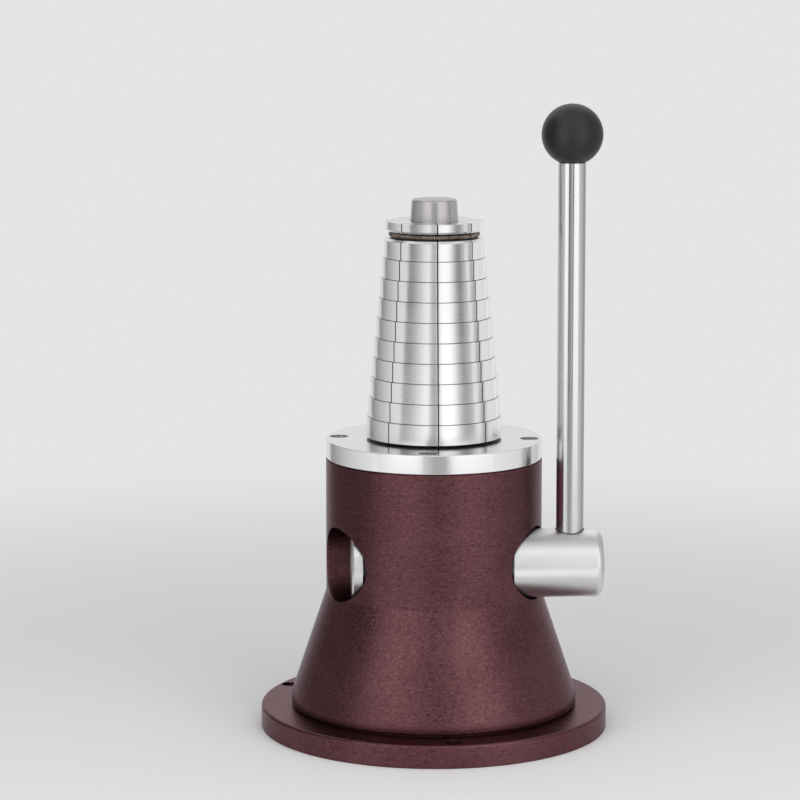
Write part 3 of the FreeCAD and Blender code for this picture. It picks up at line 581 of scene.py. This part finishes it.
steps_top = MANDREL_BOTTOM + STEP_COUNT * STEP_HEIGHT
jaw_outline = [
    (cone_radius(FOOT_BOTTOM) + JAW_CLEARANCE, FOOT_BOTTOM),
    (FOOT_RADIUS, FOOT_BOTTOM),
    (FOOT_RADIUS, FOOT_TOP),
    (NECK_RADIUS, FOOT_TOP),
    (NECK_RADIUS, LOWER_SPRING_Z - LOWER_SPRING_HALF),
    (NECK_GROOVE_RADIUS, LOWER_SPRING_Z - LOWER_SPRING_HALF),
    (NECK_GROOVE_RADIUS, LOWER_SPRING_Z + LOWER_SPRING_HALF),
    (NECK_RADIUS, LOWER_SPRING_Z + LOWER_SPRING_HALF),
    (NECK_RADIUS, MANDREL_BOTTOM),
]
step_corners = []
for index in range(STEP_COUNT):
    radius = step_radius(index)
    foot = MANDREL_BOTTOM + index * STEP_HEIGHT
    step_corners.append((radius, foot + STEP_HEIGHT))
    if index:
        jaw_outline += [
            (radius - ROOT_DEPTH, foot),
            (radius - ROOT_DEPTH, foot + ROOT_HEIGHT / 2),
            (radius, foot + ROOT_HEIGHT),
        ]
    else:
        jaw_outline.append((radius, foot))
    jaw_outline.append((radius, foot + STEP_HEIGHT))
step_corners.pop()
jaw_outline.pop()
jaw_outline += [
    (TOP_STEP_RADIUS, steps_top - TOP_STEP_CHAMFER),
    (TOP_STEP_RADIUS - TOP_STEP_CHAMFER, steps_top),
    (GROOVE_RADIUS, steps_top),
    (GROOVE_RADIUS, COLLAR_BOTTOM),
    (COLLAR_RADIUS - COLLAR_CHAMFER, COLLAR_BOTTOM),
    (COLLAR_RADIUS, COLLAR_BOTTOM + COLLAR_CHAMFER),
    (COLLAR_RADIUS, COLLAR_TOP),
    (cone_radius(COLLAR_TOP) + JAW_CLEARANCE, COLLAR_TOP),
]
step_corners += [(COLLAR_RADIUS, COLLAR_TOP), (step_radius(0), MANDREL_BOTTOM)]


def is_dull_in_shade(face):
    """True where a jaw isn't polished and is darkened as painted shade: saw cuts, bore, neck,
    spring groove, step roots.
    """
    x, y, z = face.calc_center_median() / MM
    reach = (x * x + y * y) ** 0.5
    if abs(face.normal.y * cos(HALF_JAW)) - face.normal.x * sin(HALF_JAW) > FACES_SAW:
        return True
    if z < MANDREL_BOTTOM + FINE or reach < GROOVE_RADIUS - INSIDE_GROOVE:
        return face.normal.z < FACES_UP or z < COLLAR_BOTTOM
    if steps_top + FINE < z < COLLAR_BOTTOM - FINE:
        return True
    index, above = divmod(z - MANDREL_BOTTOM, STEP_HEIGHT)
    in_root = above < ROOT_HEIGHT and reach < step_radius(index) - ROOT_FINE
    return index < STEP_COUNT and in_root


def cut_off(shape, place, away, weld=0):
    """Takes off what lies past a plane through place, and returns the cut's edges."""
    cut = bmesh.ops.bisect_plane(
        shape, geom=shape.verts[:] + shape.edges[:] + shape.faces[:], plane_co=place,
        plane_no=away, clear_outer=True, dist=weld,
    )
    return [item for item in cut["geom_cut"] if isinstance(item, bmesh.types.BMEdge)]


def sawn_jaw():
    """One jaw about the +X axis: an eighth of the turned blank, between two saw cuts."""
    shape = spun(jaw_outline, steps=32, turn=2 * HALF_JAW)
    bmesh.ops.rotate(
        shape, verts=shape.verts[:], cent=(0, 0, 0), matrix=Matrix.Rotation(-HALF_JAW, 3, "Z")
    )
    saw_faces = []
    for side in (-1, 1):
        away = Vector((-sin(HALF_JAW), side * cos(HALF_JAW), 0))
        rim = cut_off(shape, -away * KERF / 2 * MM, away, weld=WELD / 10)
        saw_faces += bmesh.ops.contextual_create(shape, geom=rim)["faces"]
    bmesh.ops.recalc_face_normals(shape, faces=shape.faces[:])

    saw_edges = {edge for face in saw_faces for edge in face.edges}
    broken = []
    for edge in shape.edges:
        ends = [((v.co.x ** 2 + v.co.y ** 2) ** 0.5 / MM, v.co.z / MM) for v in edge.verts]
        outside = all(
            r > GROOVE_RADIUS + OUTSIDE_GROOVE and z > MANDREL_BOTTOM - BELOW_MANDREL
            for r, z in ends
        )
        corner = any(
            all(abs(r - radius) < NEAR and abs(z - height) < NEAR for r, z in ends)
            for radius, height in step_corners
        )
        if corner or (edge in saw_edges and outside):
            broken.append(edge)
    bmesh.ops.bevel(
        shape, geom=broken, offset=EDGE_BREAK * MM, segments=2, affect="EDGES",
        profile=0.5, material=-1, clamp_overlap=True,
    )
    shape.normal_update()
    # The unpolished faces in the cuts, roots, groove, bore and under the mandrel take the second,
    # dark steel: painted shade.
    for face in shape.faces:
        face.material_index = int(is_dull_in_shade(face))
    return shape


def at_jaw(shape, number):
    """A copy of what lies about the +X axis, turned to a jaw; jaw 1 is right of the front."""
    copy = shape.copy()
    middle = radians(-90 + (number - 0.5) * 360 / JAW_COUNT)
    bmesh.ops.rotate(
        copy, verts=copy.verts[:], cent=(0, 0, 0), matrix=Matrix.Rotation(middle, 3, "Z")
    )
    return copy


mandrel_steel = turned_steel(
    "mandrel_steel", (0.80, 0.80, 0.805), roughness=0.24, anisotropy=0.5, marks=0.08
)
# A dark steel that paints shade into the jaws' cuts, roots and necks, and round the rod's foot.
shade_dark_steel = turned_steel("shade_dark_steel", (0.14, 0.133, 0.126), roughness=0.5, anisotropy=0.0)
first_jaw = sawn_jaw()
jaws = []
for number in range(1, JAW_COUNT + 1):
    name = f"jaw_{number}"
    jaw = finish_piece(
        f"{name}_turned", at_jaw(first_jaw, number), [mandrel_steel, shade_dark_steel], name,
        [name],
    )
    jaws.append(jaw)
first_jaw.free()


# ---------------------------------------------------------------- garter springs
# Two closed coil springs of dark oiled wire, hooked end to end into rings. One lies in
# the groove under the collar, the other round the jaws' necks, below the plate's face.

WIRE_RADIUS = 0.36
COILS_PER_JAW = 22
COIL_LEAN = 4
UPPER_SPRING_Z = 250.1
UPPER_SPRING_RADIUS = 21.5
UPPER_COIL_RADIUS = 1.33
LOWER_SPRING_RADIUS = 24.4
LOWER_COIL_RADIUS = 1.2
DARK_OIL = (0.17, 0.13, 0.10, 1)
WORN_WIRE = (0.44, 0.38, 0.33, 1)
OIL_GRAIN = 240.0


def wire_ring(radius, wire_radius, wire_sides, steps):
    """A closed ring of round wire about Z, with its middle line on the radius."""
    shape = bmesh.new()
    circle = bmesh.ops.create_circle(
        shape, segments=wire_sides, radius=wire_radius * MM,
        matrix=Matrix.Rotation(pi / 2, 4, "X"),
    )
    bmesh.ops.translate(shape, verts=circle["verts"], vec=(radius * MM, 0, 0))
    bmesh.ops.spin(
        shape, geom=shape.verts[:] + shape.edges[:], cent=(0, 0, 0), axis=(0, 0, 1),
        angle=tau, steps=steps, use_merge=True,
    )
    return shape


def coils(ring_radius, ring_height, coil_radius):
    """The coils that lie on one jaw, about the +X axis."""
    shape = wire_ring(coil_radius - WIRE_RADIUS, WIRE_RADIUS, wire_sides=5, steps=12)
    bmesh.ops.recalc_face_normals(shape, faces=shape.faces[:])
    pitch = tau / JAW_COUNT / COILS_PER_JAW
    lay = (
        Matrix.Rotation(-HALF_JAW + pitch / 2, 4, "Z")
        @ Matrix.Translation((ring_radius * MM, 0, ring_height * MM))
        @ Matrix.Rotation(radians(90 - COIL_LEAN), 4, "X")
    )
    bmesh.ops.transform(shape, verts=shape.verts[:], matrix=lay)
    bmesh.ops.spin(
        shape, geom=shape.verts[:] + shape.edges[:] + shape.faces[:], cent=(0, 0, 0),
        axis=(0, 0, 1), angle=pitch * (COILS_PER_JAW - 1), steps=COILS_PER_JAW - 1,
        use_duplicate=True,
    )
    return shape


wire_steel, wire_shader = new_material("wire_steel", Metallic=1.0, Roughness=0.38)
tree = wire_steel.node_tree
place = add_node(tree, "ShaderNodeTexCoord").outputs["Object"]
oil = add_node(tree, "ShaderNodeTexNoise", {"Vector": place, "Scale": OIL_GRAIN, "Detail": 2.0})
oily = colour_ramp(tree, oil.outputs["Fac"], ((0.35, DARK_OIL), (0.70, WORN_WIRE)))
tree.links.new(oily, wire_shader.inputs["Base Color"])

for node, ring_radius, ring_height, coil_radius in (
    ("garter_spring", UPPER_SPRING_RADIUS, UPPER_SPRING_Z, UPPER_COIL_RADIUS),
    ("lower_garter_spring", LOWER_SPRING_RADIUS, LOWER_SPRING_Z, LOWER_COIL_RADIUS),
):
    row = coils(ring_radius, ring_height, coil_radius)
    for number in range(1, JAW_COUNT + 1):
        finish_piece(
            f"{node}_coils_{number}", at_jaw(row, number), [wire_steel], f"jaw_{number}",
            [node], sharp=80,
        )
    row.free()


# ----------------------------------------------------------- cone and rack bar
# A hardened taper, ground grey, whose tip stands out of the jaws. It is spigoted on a
# round bar with rack teeth, and a washer under the bar ends its travel.

CONE_FOOT = 115.1
CONE_TIP = 267.6
TIP_CHAMFER = 0.8
TIP_ROUND = 0.25
SPIGOT_BORE = 8.05
SPIGOT_TOP = 134.1

cone_steel = turned_steel("cone_steel", (0.48, 0.465, 0.46), roughness=0.32, anisotropy=0.5)
cone = spun([
    (SPIGOT_BORE, CONE_FOOT),
    (cone_radius(CONE_FOOT), CONE_FOOT),
    (cone_radius(CONE_TIP - TIP_CHAMFER), CONE_TIP - TIP_CHAMFER, TIP_ROUND),
    (cone_radius(CONE_TIP) - TIP_CHAMFER, CONE_TIP, TIP_ROUND),
    (0, CONE_TIP),
    (0, SPIGOT_TOP),
    (SPIGOT_BORE, SPIGOT_TOP),
])
cone_piece = finish_piece("cone", cone, [cone_steel], "expander", ["expander_cone"])
dress("rack_bar", cone_steel)
dress("rack_stop_washer", screw_steel)
dress("rack_stop_screw", screw_steel)


# ------------------------------------------------------- cross shaft and its bushes
# A satin turned shaft with fourteen teeth cut in its middle, painted dark inside the bore
# as shade. It runs in two bronze bushes, and a dog-point screw in a groove keeps it from
# sliding out.

SHADED_REACH = 37.4
SHADE_EDGE = 0.3
INSIDE_SHADE = 0.1

ALONG_SHAFT = dict(axis=(1, 0, 0), centre=(0, SHAFT_Y, SHAFT_Z))
shaft_steel = turned_steel(
    "shaft_steel", (0.74, 0.74, 0.745), roughness=0.34, anisotropy=0.65, **ALONG_SHAFT
)
tree = shaft_steel.node_tree
shader = tree.nodes["Principled BSDF"]
bright = shader.inputs["Base Color"].links[0].from_socket
place = add_node(tree, "ShaderNodeTexCoord").outputs["Object"]
along = add_node(tree, "ShaderNodeSeparateXYZ", [place]).outputs["X"]
from_middle = add_node(tree, "ShaderNodeMath", [along], operation="ABSOLUTE").outputs[0]
# Painted shade: the shaft's colour falls to a tenth where it lies inside the casting.
shade_inside = add_node(
    tree, "ShaderNodeMapRange",
    {"Value": from_middle, "From Min": (SHADED_REACH - SHADE_EDGE) * MM,
     "From Max": SHADED_REACH * MM, "To Min": INSIDE_SHADE},
).outputs["Result"]
shaded_colour = mix_colours(tree, 1.0, bright, shade_inside, blend_type="MULTIPLY")
tree.links.new(shaded_colour, shader.inputs["Base Color"])
dress("pinion_shaft", shaft_steel)
bronze = turned_steel(
    "bronze", (0.60, 0.40, 0.20), roughness=0.32, anisotropy=0.4, **ALONG_SHAFT
)
dress("shaft_bush_left", bronze)
dress("shaft_bush_right", bronze)
dress("shaft_stop_screw", screw_steel)


# ------------------------------------------------------------------ lever and ball
# A bright drawn steel rod, driven into the hub, with a thin dark bead of painted shade round
# its foot, in the corner against the hub. The moulded ball has a threaded brass insert and
# is screwed down to the rod's end.

LEVER_X = 66.5
ROD_RADIUS = 6.85
ROD_FOOT = 79.0
ROD_ROUND = 0.8
HUB_RADIUS = 17.1
BEAD_RADIUS = 0.4
BALL_FLAT = 287.51
BALL_CENTRE = 300.9
BALL_RADIUS = 15.2
STUD_RADIUS = 4.0
STUD_TOP = 303.51
INSERT_BORE = 5.65
INSERT_TOP = 305.56
DEEP_BLACK = (0.006, 0.006, 0.0062, 1)
LIGHT_BLACK = (0.011, 0.011, 0.0115, 1)
HAZE_GRAIN = 90.0
MOULD_GRAIN = 2600.0
MOULD_DEPTH = 0.03

LEVER_AXIS = (LEVER_X, SHAFT_Y, 0)
AT_LEVER = Vector(LEVER_AXIS) * MM
rod_steel = turned_steel(
    "rod_steel", (0.56, 0.56, 0.565), roughness=0.2, anisotropy=0.8, centre=LEVER_AXIS
)
lever = spun([
    (0, ROD_FOOT),
    (ROD_RADIUS, ROD_FOOT, ROD_ROUND),
    (ROD_RADIUS, BALL_FLAT, ROD_ROUND),
    (STUD_RADIUS, BALL_FLAT),
    (STUD_RADIUS, STUD_TOP, ROD_ROUND),
    (0, STUD_TOP),
], steps=96)
bmesh.ops.translate(lever, verts=lever.verts[:], vec=AT_LEVER)
lever_piece = finish_piece("lever", lever, [rod_steel], "lever", ["lever_rod"])

# A dark ring of painted shade where the rod meets the hub.
bead = wire_ring(ROD_RADIUS, BEAD_RADIUS, wire_sides=10, steps=96)
for vertex in bead.verts:
    off_axis = ROD_RADIUS * MM * vertex.co.y / vertex.co.xy.length
    vertex.co.z += ((HUB_RADIUS * MM) ** 2 - off_axis ** 2) ** 0.5 + SHAFT_Z * MM
bmesh.ops.translate(bead, verts=bead.verts[:], vec=AT_LEVER)
bmesh.ops.recalc_face_normals(bead, faces=bead.faces[:])
finish_piece("foot_shade_bead", bead, [shade_dark_steel], "lever", sharp=80)

brass = turned_steel(
    "brass", (0.72, 0.53, 0.24), roughness=0.3, anisotropy=0.3, centre=LEVER_AXIS
)
dress("knob_insert", brass)

black_plastic, plastic_shader = new_material("black_plastic", Roughness=0.4)
tree = black_plastic.node_tree
place = add_node(tree, "ShaderNodeTexCoord").outputs["Object"]
haze = add_node(tree, "ShaderNodeTexNoise", {"Vector": place, "Scale": HAZE_GRAIN, "Detail": 3.0})
black = colour_ramp(tree, haze.outputs["Fac"], ((0.30, DEEP_BLACK), (0.75, LIGHT_BLACK)))
tree.links.new(black, plastic_shader.inputs["Base Color"])
grain = add_node(
    tree, "ShaderNodeTexNoise", {"Vector": place, "Scale": MOULD_GRAIN, "Detail": 2.0}
)
bump = add_node(
    tree, "ShaderNodeBump",
    {"Strength": 0.3, "Distance": MOULD_DEPTH * MM, "Height": grain.outputs["Fac"]},
)
tree.links.new(bump.outputs["Normal"], plastic_shader.inputs["Normal"])


def drawn_out(shape, rim):
    """Adds a wall along an open rim, and returns the corners of the new rim."""
    wall = bmesh.ops.extrude_edge_only(shape, edges=rim)
    return [item for item in wall["geom"] if isinstance(item, bmesh.types.BMVert)]


ball = bmesh.new()
bmesh.ops.create_uvsphere(ball, u_segments=96, v_segments=64, radius=BALL_RADIUS * MM)
bmesh.ops.translate(ball, verts=ball.verts[:], vec=(0, 0, BALL_CENTRE * MM))
rim = cut_off(ball, (0, 0, BALL_FLAT * MM), (0, 0, -1))
shrink = INSERT_BORE / ((BALL_RADIUS ** 2 - (BALL_CENTRE - BALL_FLAT) ** 2) ** 0.5)
bmesh.ops.scale(ball, verts=drawn_out(ball, rim), vec=(shrink, shrink, 1))
rim = [edge for edge in ball.edges if edge.is_boundary]
deeper = (0, 0, (INSERT_TOP - BALL_FLAT) * MM)
bmesh.ops.translate(ball, verts=drawn_out(ball, rim), vec=deeper)
bmesh.ops.contextual_create(ball, geom=[edge for edge in ball.edges if edge.is_boundary])
bmesh.ops.translate(ball, verts=ball.verts[:], vec=AT_LEVER)
bmesh.ops.recalc_face_normals(ball, faces=ball.faces[:])
finish_piece("ball", ball, [black_plastic], "lever", ["lever_knob"])


# ------------------------------------------------------------------------- light
# Two tall soft boxes beside the camera and one overhead, in a pale studio. The mandrel,
# the rod and the hub have lamps of their own, and more light the bright steel from the
# sides. Flags, which only mirrors see, put the dark stripes in it.

DAYLIGHT = 0.5
CEILING_SHADE = 0.60
WALLS_BELOW = 0.30
WHITE_FROM = 0.60
WHITE_TO = 0.86
TOWARDS_CAMERA = -93.6
BOX_DISTANCE = 0.80
BOX_WIDTH = 0.69
BOX_HEIGHT = 1.0
BOX_BRIGHTNESS = 1.10
ROD_BRIGHTNESS = 1.45
STRIP_DISTANCE = 0.28
STRIP_SIZE = (0.24, 0.26)
STRIP_MIDDLE = 0.18
STRIP_BRIGHTNESS = 0.96
TOP_TURN = 10
TOP_DISTANCE = 0.42
TOP_HEIGHT = 1.0
TOP_SIZE = (0.8, 0.8)
TOP_TARGET = (0, 0, 0.1)
TOP_BRIGHTNESS = 1.05
CARD_PLACE = (0.07, -0.155, 0.002)
CARD_TARGET = (0.07, -0.06, 0.087)
CARD_SIZE = (0.16, 0.15)
CARD_BRIGHTNESS = 0.36
SIDE_DISTANCE = 0.24
SIDE_HEIGHT = 0.30
SIDE_MIDDLE = 0.16

world = bpy.data.worlds.new("studio")
bpy.context.scene.world = world
world.use_nodes = True
tree = world.node_tree
background = tree.nodes["Background"]
background.inputs["Color"].default_value = grey(1)
direction = add_node(tree, "ShaderNodeTexCoord").outputs["Generated"]
up = add_node(tree, "ShaderNodeSeparateXYZ", [direction]).outputs["Z"]
walls = colour_ramp(tree, up, (
    (WALLS_BELOW, grey(WALL_SHADE)),
    (WHITE_FROM, grey(1)),
    (WHITE_TO, grey(1)),
    (1.0, grey(CEILING_SHADE)),
))
strength = add_node(
    tree, "ShaderNodeMapRange",
    {"Value": seen_directly(tree), "To Min": DAYLIGHT, "To Max": walls},
)
tree.links.new(strength.outputs["Result"], background.inputs["Strength"])


def aim(place, target):
    """The turn that faces a lamp or a card from its place to the target."""
    return (Vector(target) - Vector(place)).to_track_quat("-Z", "Y")


def round_place(turn, distance, height):
    """A place round the object; turn 0 is straight towards the camera, plus is right."""
    angle = radians(TOWARDS_CAMERA + turn)
    return Vector((distance * cos(angle), distance * sin(angle), height))


def soft_box(name, place, target, size, brightness, fade=None):
    """An area lamp that faces its target; fade says where across it no light turns to full."""
    lamp = bpy.data.lights.new(name, "AREA")
    lamp.shape = "RECTANGLE"
    lamp.size, lamp.size_y = size
    lamp.energy = brightness * pi * size[0] * size[1]
    if fade:
        lamp.use_nodes = True
        tree = lamp.node_tree
        across = add_node(tree, "ShaderNodeNewGeometry").outputs["Parametric"]
        across = add_node(tree, "ShaderNodeSeparateXYZ", [across]).outputs["X"]
        power = add_node(
            tree, "ShaderNodeMapRange",
            {"Value": across, "From Min": fade[0], "From Max": fade[1]},
            interpolation_type="SMOOTHSTEP",
        )
        tree.links.new(power.outputs["Result"], tree.nodes["Emission"].inputs["Strength"])
    made = bpy.data.objects.new(name, lamp)
    made.location = place
    made.rotation_mode = "QUATERNION"
    made.rotation_quaternion = aim(place, target)
    made.visible_camera = False
    bpy.context.scene.collection.objects.link(made)
    return made


def light_only(lamp, pieces, state):
    """Lets a lamp light only these pieces ("INCLUDE") or all but them ("EXCLUDE")."""
    group = bpy.data.collections.new(f"{lamp.name}_receivers")
    for piece in pieces:
        group.objects.link(piece)
    lamp.light_linking.receiver_collection = group
    for entry in group.collection_objects:
        entry.light_linking.link_state = state


def standing_box(name, turn, distance, middle, size, brightness, fade=None):
    """An upright soft box that faces the object's axis, with its middle at that height."""
    place = round_place(turn, distance, middle)
    return soft_box(name, place, (0, 0, middle), size, brightness, fade)


for name, turn, fade in (("box_left", -35, (-1.2, 0.7)), ("box_right", 38, (3.0, 0.3))):
    box = standing_box(
        name, turn, BOX_DISTANCE, BOX_HEIGHT / 2, (BOX_WIDTH, BOX_HEIGHT), BOX_BRIGHTNESS, fade
    )
    light_only(box, jaws + [lever_piece], "EXCLUDE")
for name, turn, width in (("rod_left", -42, 0.50), ("rod_right", 40, 0.62)):
    box = standing_box(
        name, turn, BOX_DISTANCE, BOX_HEIGHT / 2, (width, BOX_HEIGHT), ROD_BRIGHTNESS
    )
    light_only(box, [lever_piece], "INCLUDE")
for name, turn, fade in (("strip_left", -31, (0.0, 1.25)), ("strip_right", 32, (0.95, 0.42))):
    strip = standing_box(
        name, turn, STRIP_DISTANCE, STRIP_MIDDLE, STRIP_SIZE, STRIP_BRIGHTNESS, fade
    )
    light_only(strip, jaws, "INCLUDE")
overhead = round_place(TOP_TURN, TOP_DISTANCE, TOP_HEIGHT)
box = soft_box("box_top", overhead, TOP_TARGET, TOP_SIZE, TOP_BRIGHTNESS)
box.visible_glossy = False
hub_card = soft_box("hub_card", CARD_PLACE, CARD_TARGET, CARD_SIZE, CARD_BRIGHTNESS)
light_only(hub_card, [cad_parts["pinion_shaft"]], "INCLUDE")
for name, turn, width, brightness, fade, lit in (
    ("side_left", -93, 0.35, 0.62, (-0.2, 1.0), jaws + [cone_piece, lever_piece, plate_piece]),
    ("side_right", 93, 0.35, 0.50, (2.4, -0.9), [cone_piece, plate_piece]),
    ("side_rod", 78, 0.16, 0.45, (1.6, -0.2), [lever_piece]),
    ("side_jaws", 107, 0.35, 0.50, (2.5, -0.5), jaws),
):
    side = standing_box(
        name, turn, SIDE_DISTANCE, SIDE_MIDDLE, (width, SIDE_HEIGHT), brightness, fade
    )
    light_only(side, lit, "INCLUDE")


def flag(name, turn, half_angle, distance, bottom, top, shade, soft):
    """A standing dark card that only mirrors see; each side thins out over the share soft."""
    cloth = bpy.data.materials.new(name)
    cloth.use_nodes = True
    tree = cloth.node_tree
    tree.nodes.remove(tree.nodes["Principled BSDF"])
    uv = add_node(tree, "ShaderNodeTexCoord").outputs["UV"]
    across = add_node(tree, "ShaderNodeSeparateXYZ", [uv]).outputs["X"]
    sides = [
        add_node(
            tree, "ShaderNodeMapRange",
            {"Value": across, "From Min": clear_at, "From Max": dark_at},
            interpolation_type="SMOOTHSTEP",
        ).outputs["Result"]
        for clear_at, dark_at in ((0.0, soft), (1.0, 1.0 - soft))
    ]
    solid = add_node(tree, "ShaderNodeMath", sides, operation="MULTIPLY").outputs[0]
    clear = add_node(tree, "ShaderNodeBsdfTransparent")
    dark = add_node(tree, "ShaderNodeEmission", {"Color": grey(shade)})
    mixed = add_node(tree, "ShaderNodeMixShader", [solid, clear.outputs[0], dark.outputs[0]])
    tree.links.new(mixed.outputs[0], tree.nodes["Material Output"].inputs["Surface"])

    card = bmesh.new()
    card.loops.layers.uv.new("cloth")
    bmesh.ops.create_grid(card, x_segments=1, y_segments=1, size=0.5, calc_uvs=True)
    place = round_place(turn, distance, (bottom + top) / 2)
    width = 2 * distance * tan(radians(half_angle))
    matrix = (
        Matrix.Translation(place)
        @ aim(place, (0, 0, place.z)).to_matrix().to_4x4()
        @ Matrix.Diagonal((width, top - bottom, 1, 1))
    )
    bmesh.ops.transform(card, verts=card.verts[:], matrix=matrix)
    made = add_object(name, card)
    made.data.materials.append(cloth)
    made.visible_camera = False
    made.visible_diffuse = False
    made.visible_shadow = False


for name, turn, half_angle, distance, bottom, top, shade, soft in (
    ("flag_middle", 5.5, 15, 0.30, 0.0, 0.11, 0.44, 0.35),
    ("flag_upper", 2, 10, 0.30, 0.11, 0.26, 0.40, 0.30),
    ("flag_front_left", -36, 30, 0.83, 0.0, 1.0, 0.20, 0.05),
    ("flag_side_left", -98.5, 39.5, 0.27, 0.0, 0.60, 0.25, 0.05),
    ("flag_front_right", 38, 30, 0.83, 0.0, 1.0, 0.20, 0.05),
    ("flag_side_right", 98.5, 39.5, 0.27, 0.0, 0.60, 0.50, 0.05),
):
    flag(name, turn, half_angle, distance, bottom, top, shade, soft)

bpy.context.scene.view_settings.view_transform = "Standard"
